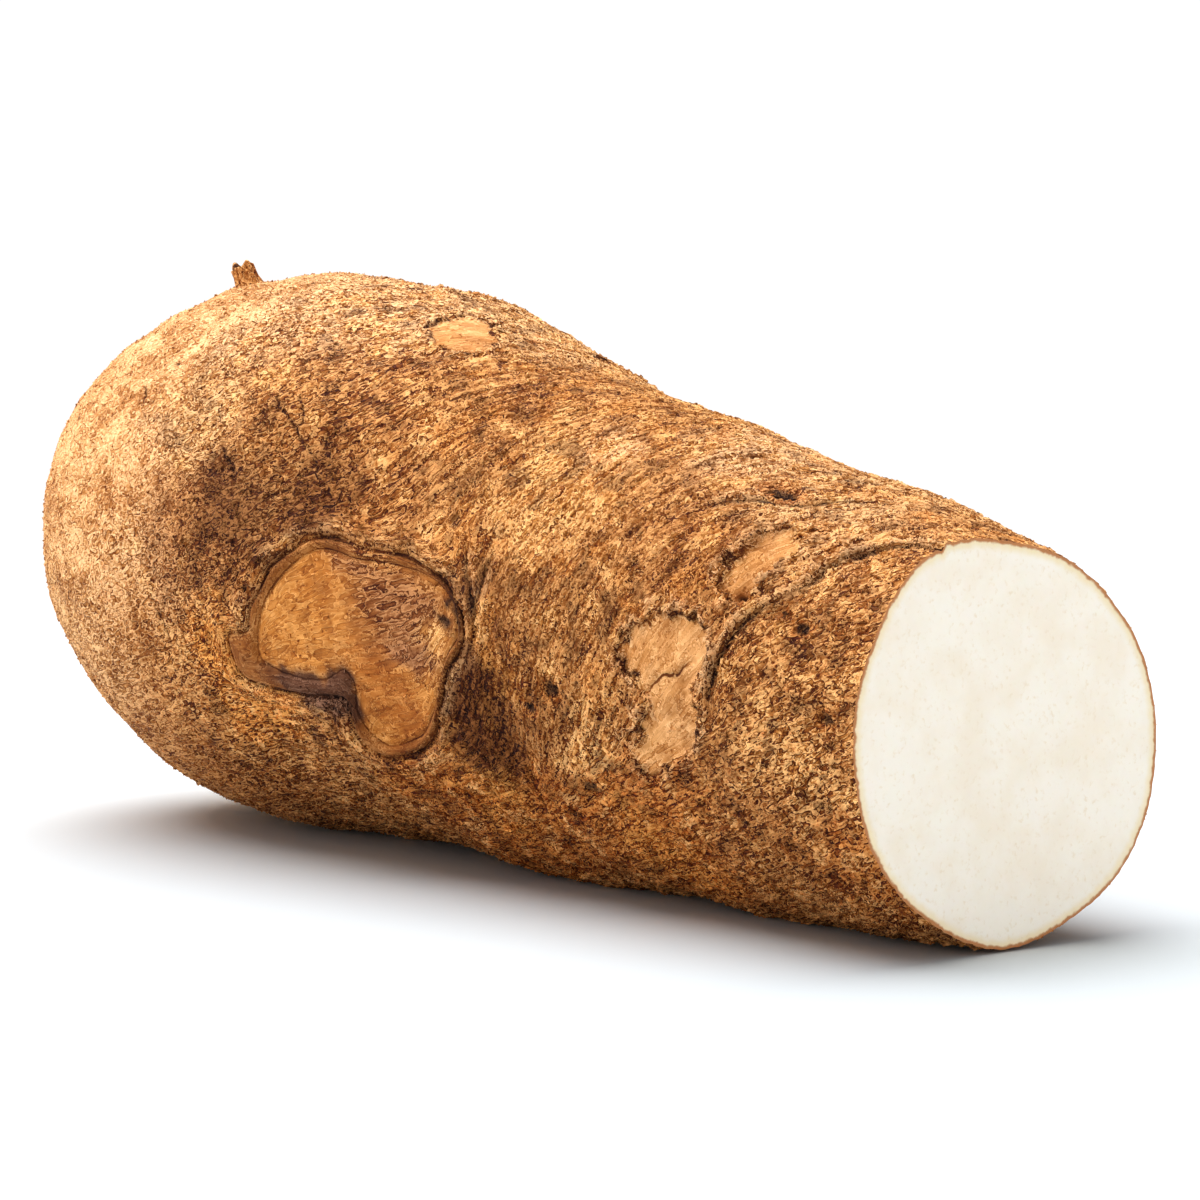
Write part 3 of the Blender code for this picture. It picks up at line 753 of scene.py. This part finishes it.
        # A dark hole near the scar's edge, made by colour alone: painted shade
        hole = 1.5 * mark(32.5, -13.4, 2.2, 1.1) + 1.2 * mark(37.5, -15, 1.4, 4)
        hole += 1.2 * mark(34, -19, 2, 1.2)
        self.blend(GROOVE_SHADE_AND_DIRT, 0.95 * np.clip(hole, 0, 1))
        self.blend(BROWN, 0.8 * np.clip(1.5 * mark(-8, -11, 2.6, 1.0), 0, 1))
        ragged_top = np.clip(1.4 * mark(9, -23.5, 6, 2.2), 0, 1)
        self.blend(BROWN, ragged_top)
        self.texture = np.maximum(self.texture, ragged_top)
        smear = mark(-22, 14, 9, 2.4) + 1.4 * mark(-12, 16, 9, 4) + 1.4 * mark(-3.5, 13, 3.4, 6.5)
        self.blend(STAIN_DARK, 0.95 * np.clip(1.3 * smear, 0, 1))


# Meshes
COLUMNS = 560
ROWS = 168
FRONT_ANGLE = math.radians(82)
FRONT_SHARE = 0.30
PIECES = (("skin_round_end", 0.0, 0.120), ("skin_waist", 0.120, 0.225), ("skin_neck", 0.225, LENGTH))


def column_angles():
    """Angles round the tuber, closer together on the side with the heart-shaped scar."""
    t = np.arange(COLUMNS) * 2 * math.pi / COLUMNS
    return t - FRONT_SHARE * np.sin(t - FRONT_ANGLE)


def row_places(start, end, rows):
    """Places along the tuber, closer together where the round end curves in to its tip."""
    t = np.linspace(0, 1, rows + 1)
    if start > 0:
        return start + (end - start) * t
    bend = 1 - np.cos(0.5 * math.pi * t)
    return end * (0.80 * bend + 0.20 * t**1.3)


def new_mesh(name, points, faces, material, attributes):
    """A mesh object with its attributes: a colour where the name is tone, and otherwise a vector."""
    mesh = bpy.data.meshes.new(name)
    mesh.from_pydata(points.tolist(), [], faces)
    for key, values in attributes.items():
        kind, field = "FLOAT_VECTOR", "vector"
        if key == "tone":
            kind, field = "FLOAT_COLOR", "color"
            values = np.concatenate([values, np.ones((len(values), 1))], axis=1)
        attribute = mesh.attributes.new(key, kind, "POINT")
        attribute.data.foreach_set(field, values.astype(np.float32).ravel())
    mesh.materials.append(material)
    mesh.shade_smooth()
    mesh.update()
    obj = bpy.data.objects.new(name, mesh)
    bpy.context.scene.collection.objects.link(obj)
    return obj


def grid_normals(points):
    """Unit normals of a grid of points that closes on itself round the tuber."""
    down = np.gradient(points, axis=0)
    across = np.roll(points, -1, 1) - np.roll(points, 1, 1)
    return unit(np.cross(across, down))


def grid_faces(rows, columns):
    """Quads between the rings of a grid that closes on itself."""
    ring, column = np.meshgrid(np.arange(rows), np.arange(columns), indexing="ij")
    after = (column + 1) % columns
    a, b = ring * columns + column, ring * columns + after
    return np.stack([a, b, b + columns, a + columns], axis=-1).reshape(-1, 4).tolist()


def marks(skin):
    """The thin dark lines as the shader reads them: distance and half width in millimetres, strength."""
    fade = np.clip(1.6 - np.abs(skin.line), 0, 1)
    return np.stack([skin.line, skin.line_width, skin.line_darkness * fade], axis=-1)


def skin_piece(name, start, end, material):
    """One length of skin, on a fine grid, whose border rings match its neighbours' exactly."""
    rows = row_places(start, end, ROWS)
    step_before, step_after = rows[1] - rows[0], rows[-1] - rows[-2]
    before = [] if start == 0 else [start - step_before]
    after = [] if end >= LENGTH else [end + step_after]
    rows = np.concatenate([before, rows, after])
    along, angle = np.meshgrid(rows, column_angles(), indexing="ij")
    skin = Skin(along, angle)
    if end >= LENGTH:
        skin.points[-1, :, 0] = LENGTH / 2
    normals = grid_normals(skin.points)
    keep = slice(len(before), len(rows) - len(after))

    def flat(grid):
        return grid[keep].reshape(-1, *grid.shape[2:])

    attributes = {
        "tone": flat(skin.tone),
        "flow": flat(skin.flow),
        "line": flat(marks(skin)),
        "surface": flat(np.stack([skin.smooth, skin.shade, skin.texture], axis=-1)),
    }
    obj = new_mesh(name, flat(skin.points), grid_faces(ROWS, COLUMNS), material, attributes)
    obj.data.normals_split_custom_set_from_vertices(flat(normals))
    return obj, skin.points[-1]


# Shaders
# How far the painted shade may fall, and how much each of red, green and blue follows it: gaps turn redder
DARKEST = -2.8
DARK_SHARES = (0.68, 1.02, 1.6)

# How far the shade may rise, how much of it turns to a painted highlight, partly the paler colour of a
# dry lip, and how that colour is made from the zone's
PALEST = 1.1
PALE_SHARE = 0.80
LIP_HIGHLIGHT_GAMMA = 0.72
LIP_HIGHLIGHT_GAIN = (1.44, 1.42, 1.42)

# Fibres: length, width, and how many samples of noise are drawn along each
COARSE_FIBRE = (0.0150, 0.0026, 8)
MIDDLE_FIBRE = (0.0080, 0.0012, 8)
FINE_FIBRE = (0.0018, 0.00050, 4)
NICK = (0.0026, 0.0009, 3)
SPECK_SIZE = 0.0026

# What each layer adds to the shade or takes from it, as painted highlight on lips and painted shadow at
# feet and in gaps, and its height in the bump
SHADES = {"coarse lip": 7.0, "lip": 6.0, "coarse": 1.6, "fibre": 1.2, "speck": 0.9, "line": 2.4}
HEIGHTS = {"coarse step": 0.00055, "step": 0.00030, "fibre": 0.0006, "line": 0.0004, "speck": 0.00012}


class Graph:
    """A material's shader nodes, added and joined one at a time."""

    def __init__(self, name):
        self.material = bpy.data.materials.new(name)
        self.material.use_nodes = True
        self.nodes = self.material.node_tree.nodes
        self.links = self.material.node_tree.links
        self.shader = self.nodes["Principled BSDF"]

    def add(self, kind, inputs, output=0, **settings):
        node = self.nodes.new("ShaderNode" + kind)
        for key, value in settings.items():
            setattr(node, key, value)
        for key, value in inputs.items():
            self.join(node.inputs[key], value)
        return node.outputs[output]

    def complete(self, height, inputs):
        """Sets the shader's inputs, joins a height in metres to its bump, and gives the material."""
        for key, value in inputs.items():
            self.join(self.shader.inputs[key], value)
        if height:
            bump = self.add("Bump", {"Strength": 1.0, "Distance": 1.0, "Height": height})
            self.join(self.shader.inputs["Normal"], bump)
        return self.material

    def join(self, socket, value):
        if isinstance(value, bpy.types.NodeSocket):
            self.links.new(value, socket)
        else:
            socket.default_value = value

    def math(self, operation, *values):
        return self.add("Math", dict(enumerate(values)), operation=operation)

    def times(self, first, second):
        return self.math("MULTIPLY", first, second)

    def minus(self, first, second):
        return self.math("SUBTRACT", first, second)

    def total(self, *values):
        return functools.reduce(lambda first, second: self.math("ADD", first, second), values)

    def line(self, value, slope, start):
        return self.math("MULTIPLY_ADD", value, slope, start)

    def parts(self, vector):
        return [self.add("SeparateXYZ", {0: vector}, k) for k in range(3)]

    def vector(self, operation, *values):
        output = "Value" if operation == "LENGTH" else "Vector"
        return self.add("VectorMath", dict(enumerate(values)), output, operation=operation)

    def scaled(self, vector, by):
        return self.add("VectorMath", {0: vector, "Scale": by}, operation="SCALE")

    def attribute(self, name, output="Vector"):
        return self.add("Attribute", {}, output, attribute_name=name)

    def noise(self, where, size, detail=1.0):
        inputs = {"Vector": where, "Scale": 1 / size, "Detail": detail, "Roughness": 0.55}
        return self.add("TexNoise", inputs)

    def ramp(self, value, low, high):
        inputs = {"Value": value, "From Min": low, "From Max": high}
        return self.add("MapRange", inputs, interpolation_type="SMOOTHSTEP")

    def mix(self, share, first, second):
        inputs = {"Factor": share, 6: first, 7: second}
        return self.add("Mix", inputs, 2, data_type="RGBA", clamp_factor=True)

    def streaks(self, where, flow, length, width, taps):
        """Noise drawn out along the fibres, about 0 to 1."""
        values = []
        for k in range(taps):
            shift = self.scaled(flow, (k / (taps - 1) - 0.5) * length)
            values.append(self.noise(self.vector("ADD", where, shift), width))
        return self.math("DIVIDE", self.total(*values), float(taps))


def flaked(g, value, steps):
    """Splits a slow value into steps: how high each is, and how near its lip, 0.5, or its foot, -0.5, which
    the shade turns into a painted highlight on the lip and painted shadow at the foot.
    """
    stepped = g.times(value, steps)
    part = g.math("FRACT", stepped)
    side = g.minus(0.5, part)
    steep = g.math("POWER", g.math("ABSOLUTE", side), 2.6)
    return g.minus(stepped, part), g.times(steep, g.times(g.math("SIGN", side), 3.0))


def bark_colour(g, shade):
    """The zone's colour, paler where the shade is above 0 and darker and redder where it is below: painted
    highlight and shade on the flakes' lips and feet, and uneven tone.
    """
    tone = g.attribute("tone", "Color")
    dark = g.math("MAXIMUM", g.math("MINIMUM", shade, 0.0), DARKEST)
    shares = [g.math("EXPONENT", g.times(dark, share)) for share in DARK_SHARES]
    colour = g.vector("MULTIPLY", tone, g.add("CombineXYZ", dict(enumerate(shares))))
    pale = g.times(g.math("MINIMUM", g.math("MAXIMUM", shade, 0.0), PALEST), PALE_SHARE)
    lip = g.vector("MULTIPLY", g.add("Gamma", {"Color": tone, "Gamma": LIP_HIGHLIGHT_GAMMA}), LIP_HIGHLIGHT_GAIN)
    return g.mix(pale, colour, lip)


def skin_material():
    """Bark: layers of flakes along the fibres, with painted highlights on their lips and painted shadows at
    their feet, and thin dark lines.
    """
    g = Graph("skin")
    place = g.add("TexCoord", {}, "Object")
    flow = g.attribute("flow")
    smooth, shade, texture = g.parts(g.attribute("surface"))
    distance, width, line_darkness = g.parts(g.attribute("line"))
    evening = g.line(g.vector("LENGTH", flow), 1.1, 1.0)

    def fibres(length, width, taps):
        return g.times(g.minus(g.streaks(place, flow, length, width, taps), 0.5), evening)

    coarse, fibre, fine = fibres(*COARSE_FIBRE), fibres(*MIDDLE_FIBRE), fibres(*FINE_FIBRE)
    coarse_step, coarse_lip = flaked(g, g.total(coarse, g.times(fibre, 0.2)), 6.0)
    step, lip = flaked(g, g.total(fibre, g.times(fine, 0.15)), 4.5)
    threads = g.total(fibre, fine)
    nicks = g.ramp(fibres(*NICK), 0.21, 0.30)
    specks = g.ramp(g.add("TexVoronoi", {"Vector": place, "Scale": 1 / SPECK_SIZE}, "Distance"), 0.17, 0.09)
    frayed = g.math("ABSOLUTE", g.total(distance, g.times(fibre, 0.9)))
    lines = g.times(g.ramp(g.math("DIVIDE", frayed, width), 1.0, 0.45), line_darkness)

    own = g.total(g.times(coarse_lip, SHADES["coarse lip"]), g.times(lip, SHADES["lip"]))
    own = g.total(own, g.times(threads, SHADES["fibre"]), g.times(coarse, SHADES["coarse"]))
    shade = g.total(shade, g.times(own, g.line(texture, 0.92, 0.08)))
    shade = g.minus(shade, g.times(nicks, g.line(smooth, -0.7, 1.2)))
    shade = g.minus(shade, g.times(specks, SHADES["speck"]))
    shade = g.minus(shade, g.times(lines, SHADES["line"]))
    steps = g.total(g.times(coarse_step, HEIGHTS["coarse step"]), g.times(step, HEIGHTS["step"]))
    height = g.times(g.total(steps, g.times(threads, HEIGHTS["fibre"])), g.line(texture, 0.9, 0.1))
    height = g.minus(height, g.times(lines, HEIGHTS["line"]))
    height = g.minus(height, g.times(specks, HEIGHTS["speck"]))
    inputs = {"Base Color": bark_colour(g, shade), "Roughness": 0.8, "Specular IOR Level": 0.15}
    return g.complete(height, inputs)


def flesh_material():
    """Cut flesh: cream, a little moist, yellower next to the skin, which shows as a thin brown line."""
    g = Graph("flesh")
    place = g.add("TexCoord", {}, "Object")
    ragged = g.line(g.noise(place, 0.0016, 2.0), 1.1, -0.55)
    depth_mm = g.total(g.parts(g.attribute("edge"))[0], ragged)
    cloud, grain = g.noise(place, 0.012, 3.0), g.noise(place, 0.0012, 2.0)
    cream = g.mix(g.ramp(cloud, 0.35, 0.7), CREAM, WARM_CREAM)
    cream = g.mix(g.ramp(grain, 0.55, 0.8), cream, CUT_GRAIN)
    cream = g.mix(g.ramp(depth_mm, 3.2, 0.6), cream, CUT_BORDER)
    cream = g.mix(g.ramp(depth_mm, 1.1, 0.45), cream, CUT_SKIN)
    inputs = {
        "Base Color": cream,
        "Roughness": 0.5,
        "Subsurface Weight": 0.25,
        "Subsurface Radius": (0.004, 0.003, 0.002),
        "Subsurface Scale": 1.0,
    }
    return g.complete(g.times(grain, 0.0001), inputs)


# Flakes of bark
# Pieces: name, seed, and the stretch of the tuber that each covers
FLAKES = (("flakes_round", 21, 0.004, 0.200), ("flakes_neck", 22, 0.200, 0.3396))
FLAKES_EACH = 32000
FLAKE_ROOT = 0.5 * MM
FLAKE_WIDEST = 0.60 * MM
EVEN_RADIUS = 0.075

# The share of flakes given a painted glint, and the painted shades of a flake's four corners and its root:
# darker at its flush end and root, paler where it is lifted
PAINTED_GLINT_SHARE = 0.30
CORNER_SHADES = (-0.5, -0.5, 0.1, 0.1, -0.9)
FLAKE_SIDES = ((0, 1, 2), (0, 2, 3), (1, 0, 4), (2, 1, 4), (3, 2, 4), (0, 3, 4))
NO_LINE = np.array([9.0, 1.0, 0.0])


def flake_places(count, seed, start, end):
    """Random places, even over the skin's area, thinner on the pale end and on the hidden side."""
    rng = np.random.default_rng(seed)
    tries = 6 * count
    along = rng.uniform(start, end, tries)
    angle = rng.uniform(0, 2 * math.pi, tries)
    _, _, up, down, near, far = section_at(along)
    girth = (up + down + near + far) / 4 / EVEN_RADIUS
    front = 0.5 + 0.5 * np.cos(angle - FRONT_ANGLE)
    tan_end = 0.25 + 0.75 * ramp(along, 0.06, 0.12)
    keep = rng.uniform(size=tries) < girth * (0.35 + 0.65 * front) * tan_end
    return along[keep][:count], angle[keep][:count], rng


def flake_corners(rng, points, normal, flow, loose):
    """Four corners of each sliver, lifted on one side and mostly along the fibres, and its root."""
    count = len(points)
    run = flow + rng.normal(size=(count, 3)) * (0.25 + 1.2 * loose)[:, None]
    run = unit(run - normal * np.sum(run * normal, axis=1, keepdims=True))
    across = np.cross(normal, run)
    length = (0.40 + 0.60 * rng.gamma(2.0, 0.5, count)) * MM * (0.7 + 1.2 * (1 - loose))
    breadth = np.minimum(length * rng.uniform(0.20, 0.45, count), FLAKE_WIDEST)
    lift = rng.uniform(0.10, 0.50, count) * MM
    corners = []
    for end_side, lifted in ((-1, 0), (1, 0), (1, 1), (-1, 1)):
        reach = rng.uniform(0.05, 0.7, count) if lifted else rng.uniform(0.75, 1.0, count)
        out = 0.5 * length * end_side * reach
        aside = breadth * (lifted - 0.5) * rng.uniform(0.7, 1.1, count)
        rise = np.where(lifted, lift, 0.02 * MM) * rng.uniform(0.7, 1.2, count)
        corners.append(points + run * out[:, None] + across * aside[:, None] + normal * rise[:, None])
    return np.stack([*corners, points - normal * FLAKE_ROOT], axis=1).reshape(-1, 3)


def flakes(name, seed, start, end, material):
    """Shards of bark: thin slivers lifted on one side, with their roots in the skin. Scars have few."""
    along, angle, rng = flake_places(FLAKES_EACH, seed, start, end)
    skin = Skin(along, angle)
    keep = rng.uniform(size=len(along)) > 1.4 * skin.smooth
    count = int(keep.sum())
    flow = skin.flow[keep]
    loose = 1 - np.clip(np.linalg.norm(flow, axis=1), 0, 1)
    vertices = flake_corners(rng, skin.points[keep], skin.normal[keep], flow, loose)
    vertices[:, 2] = np.maximum(vertices[:, 2], 0)
    vertices[:, 0] = np.minimum(vertices[:, 0], LENGTH / 2 + 0.0004)
    faces = (np.arange(count)[:, None, None] * 5 + np.array(FLAKE_SIDES)).reshape(-1, 3).tolist()
    # Painted glints on some flakes; the rest shift their tone at random
    painted_glint = rng.uniform(0, 1, count) < PAINTED_GLINT_SHARE
    lighter = np.where(painted_glint, rng.uniform(1.0, 1.8, count), rng.uniform(-0.6, 0.55, count))
    shades = (lighter + 0.5 * skin.shade[keep])[:, None] + np.array(CORNER_SHADES)
    still = np.zeros((len(vertices), 3))
    attributes = {
        "tone": np.repeat(skin.tone[keep], 5, axis=0),
        "flow": np.repeat(flow, 5, axis=0),
        "line": still + NO_LINE,
        "surface": np.stack([still[:, 0], shades.ravel(), still[:, 0] + 0.3], axis=-1),
    }
    obj = new_mesh(name, vertices, faces, material, attributes)
    obj.data.shade_flat()
    return obj


# The cut: how far each ring lies inside its border
CUT_RINGS_MM = (0, 0.25, 0.5, 0.8, 1.2, 1.8, 2.8, 4.5, 8, 14, 22, 31)


def cut_face(rim, material):
    """The flat cut, as rings inside the skin's last ring, and a middle point."""
    middle = rim.mean(axis=0)
    reach = np.linalg.norm(rim - middle, axis=1)
    rings, edges = [], []
    for inset in CUT_RINGS_MM:
        scale = 1 - inset * MM / reach
        rings.append(middle + (rim - middle) * scale[:, None])
        edges.append(np.full(len(rim), float(inset)))
    points = np.concatenate([*rings, middle[None]])
    edge = np.concatenate([*edges, [40.0]])
    count = len(CUT_RINGS_MM) - 1
    faces = grid_faces(count, len(rim))
    last, centre = count * len(rim), len(points) - 1
    faces += [(last + k, last + (k + 1) % len(rim), centre) for k in range(len(rim))]
    attributes = {"edge": np.stack([edge, 0 * edge, 0 * edge], axis=-1)}
    return new_mesh("cut_face", points, faces, material, attributes)


# The root stump
STUB_COLUMNS = 48
STUB_ROWS = 22
HOLLOW_ROWS = 8


def stub_rings(turn):
    """Radius and height round each ring, up the outside to the torn rim and down into the hollow."""
    left = 0.0026 * np.exp(-(((turn - math.pi) / 0.45) ** 2))
    right = 0.0011 * np.exp(-((((turn + math.pi) % (2 * math.pi) - math.pi) / 0.5) ** 2))
    top = STUB_ROOT + STUB_HEIGHT + left + right + 0.0002 * np.sin(5 * turn + 1)
    rings = []
    for t in np.arange(STUB_ROWS + 1) / STUB_ROWS:
        flare = 1 + 0.55 * (1 - t) ** 3
        ribs = 1 + 0.06 * np.sin(7 * turn + 3 * t) + 0.04 * np.sin(13 * turn - 4 * t + 2)
        rings.append((STUB_RADIUS * flare * (1 - 0.12 * t) * ribs, t * top))
    for t in np.arange(1, HOLLOW_ROWS + 1) / HOLLOW_ROWS:
        radius = np.full(STUB_COLUMNS, STUB_RADIUS * (0.82 - 0.55 * t))
        rings.append((radius, top * (1 - t) + (STUB_ROOT + 0.0026) * t))
    return rings


def root_stump(material):
    """A short woody stump, hollow at its top, with two torn points on its rim and ribs down its side."""
    skin = Skin(np.array([STUB_AT[0] * MM]), np.radians([STUB_AT[1]]))
    normal = Vector(skin.normal[0])
    across = normal.cross((1, 0, 0)).normalized()
    turned = Matrix((across.cross(normal), across, normal)).transposed().to_4x4()
    foot = Vector(skin.points[0]) - normal * STUB_ROOT
    upright = Matrix.Translation(foot) @ turned @ Matrix.Rotation(math.radians(-STUB_LEAN), 4, "Y")
    turn = np.arange(STUB_COLUMNS) * 2 * math.pi / STUB_COLUMNS
    rings = stub_rings(turn)
    points, tones = [], []
    for k, (radius, height) in enumerate(rings):
        # Brown outside, a paler torn rim, partly a painted highlight, and dark down the hollow as painted
        # shade
        tone = BROWN if k < STUB_ROWS else TAN if k == STUB_ROWS else DARK
        for j in range(STUB_COLUMNS):
            local = Vector((radius[j] * math.cos(turn[j]), radius[j] * math.sin(turn[j]), height[j]))
            points.append(upright @ local)
            tones.append(tone)
    points.append(upright @ Vector((0, 0, STUB_ROOT + 0.0024)))
    tones.append(GROOVE_SHADE_AND_DIRT)
    faces = grid_faces(len(rings) - 1, STUB_COLUMNS)
    last, centre = (len(rings) - 1) * STUB_COLUMNS, len(points) - 1
    faces += [(last + j, last + (j + 1) % STUB_COLUMNS, centre) for j in range(STUB_COLUMNS)]
    still = np.zeros((len(points), 3))
    attributes = {
        "tone": np.array(tones),
        "flow": still + np.array(normal) * 0.9,
        "line": still + NO_LINE,
        "surface": still + np.array([0.0, 0.0, 0.6]),
    }
    return new_mesh("root_stump", np.array(points), faces, material, attributes)


# Stage
# The camera, as the photograph's perspective gives it
LENS_MM, SENSOR_MM = 135, 36
CAMERA_AT = (0.90034, -0.68132, 0.17711)
CAMERA_AIM = (-0.00155, 0.02331, 0.06489)

# Softboxes: name, place, size, power, the point that each faces, and whether it lights the tuber alone
LIGHTS = (
    ("key", (-0.60, -1.20, 1.25), (0.55, 0.55), 19, (0, 0, 0.06), True),
    ("front", (-0.10, -1.60, 0.42), (0.9, 0.9), 4, (0, 0, 0.05), True),
    ("fill", (1.3, 0.1, 0.8), (0.9, 0.9), 7.6, (0, 0, 0.06), True),
    ("overhead", (-0.55, 0.02, 1.65), (2.7, 1.7), 48, (0, 0, 0), False),
)

# The world's strength at the horizon and overhead, and the heights between which it changes
WORLD_STRENGTH = {"From Min": 0.04, "From Max": 0.10, "To Min": 1.05, "To Max": 0.29}
FLOOR_RADIUS = 6
FLOOR_DROP = 0.0002
PAPER = (0.87, 0.93, 0.97, 1)


def place_facing(name, data, place, aim):
    """Puts a camera or a light at a place, facing a point."""
    obj = bpy.data.objects.new(name, data)
    obj.location = place
    obj.rotation_euler = (Vector(aim) - Vector(place)).to_track_quat("-Z", "Y").to_euler()
    bpy.context.scene.collection.objects.link(obj)
    return obj


def lights():
    """Round softboxes. Those for the tuber alone light only what is in its collection."""
    tuber = bpy.data.collections.new("lit by the key")
    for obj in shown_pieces():
        tuber.objects.link(obj)
    for name, place, sizes, power, aim, alone in LIGHTS:
        data = bpy.data.lights.new(name, "AREA")
        data.shape = "ELLIPSE"
        data.size, data.size_y = sizes
        data.energy = power
        light = place_facing(name, data, place, aim)
        if alone:
            light.light_linking.receiver_collection = tuber


def camera():
    """The photograph's view."""
    data = bpy.data.cameras.new("camera")
    data.lens = LENS_MM
    data.sensor_width = SENSOR_MM
    bpy.context.scene.camera = place_facing("camera", data, CAMERA_AT, CAMERA_AIM)


def world():
    """White at the horizon, softer overhead."""
    made = bpy.data.worlds.new("white studio")
    made.use_nodes = True
    nodes, links = made.node_tree.nodes, made.node_tree.links
    direction = nodes.new("ShaderNodeTexCoord")
    parts = nodes.new("ShaderNodeSeparateXYZ")
    links.new(direction.outputs["Generated"], parts.inputs[0])
    strength = nodes.new("ShaderNodeMapRange")
    for key, value in WORLD_STRENGTH.items():
        strength.inputs[key].default_value = value
    links.new(parts.outputs["Z"], strength.inputs["Value"])
    links.new(strength.outputs[0], nodes["Background"].inputs["Strength"])
    nodes["Background"].inputs["Color"].default_value = (1, 1, 1, 1)
    bpy.context.scene.world = made


def floor_material():
    """Matt white near the tuber, which turns to an evenly lit backdrop further out."""
    g = Graph("floor")
    away = g.vector("LENGTH", g.add("TexCoord", {}, "Object"))
    lit = g.ramp(away, 0.45, 1.1)
    inputs = {
        "Base Color": g.mix(lit, PAPER, (0, 0, 0, 1)),
        "Emission Strength": g.times(lit, 1.03),
        "Emission Color": (1, 1, 1, 1),
        "Roughness": 0.9,
        "Specular IOR Level": 0.0,
    }
    return g.complete(None, inputs)


def floor():
    """A wide disc just under the tuber."""
    bpy.ops.mesh.primitive_circle_add(
        vertices=96, radius=FLOOR_RADIUS, fill_type="NGON", location=(0, 0, -FLOOR_DROP)
    )
    disc = bpy.context.object
    disc.name = "floor"
    disc.data.materials.append(floor_material())
    disc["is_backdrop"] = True


camera()
world()
floor()

SKIN = skin_material()
FLESH = flesh_material()
rim = None
for piece_name, piece_start, piece_end in PIECES:
    piece, rim = skin_piece(piece_name, piece_start, piece_end, SKIN)
    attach(piece, "root")
    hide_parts("yam")
for flake_name, seed, flake_start, flake_end in FLAKES:
    piece = flakes(flake_name, seed, flake_start, flake_end, SKIN)
    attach(piece, "root")
stump = root_stump(SKIN)
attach(stump, "root")
cut = cut_face(rim, FLESH)
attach(cut, "root")
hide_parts("yam")

lights()

scene = bpy.context.scene
scene.view_settings.view_transform = "Standard"
scene.cycles.use_denoising = True
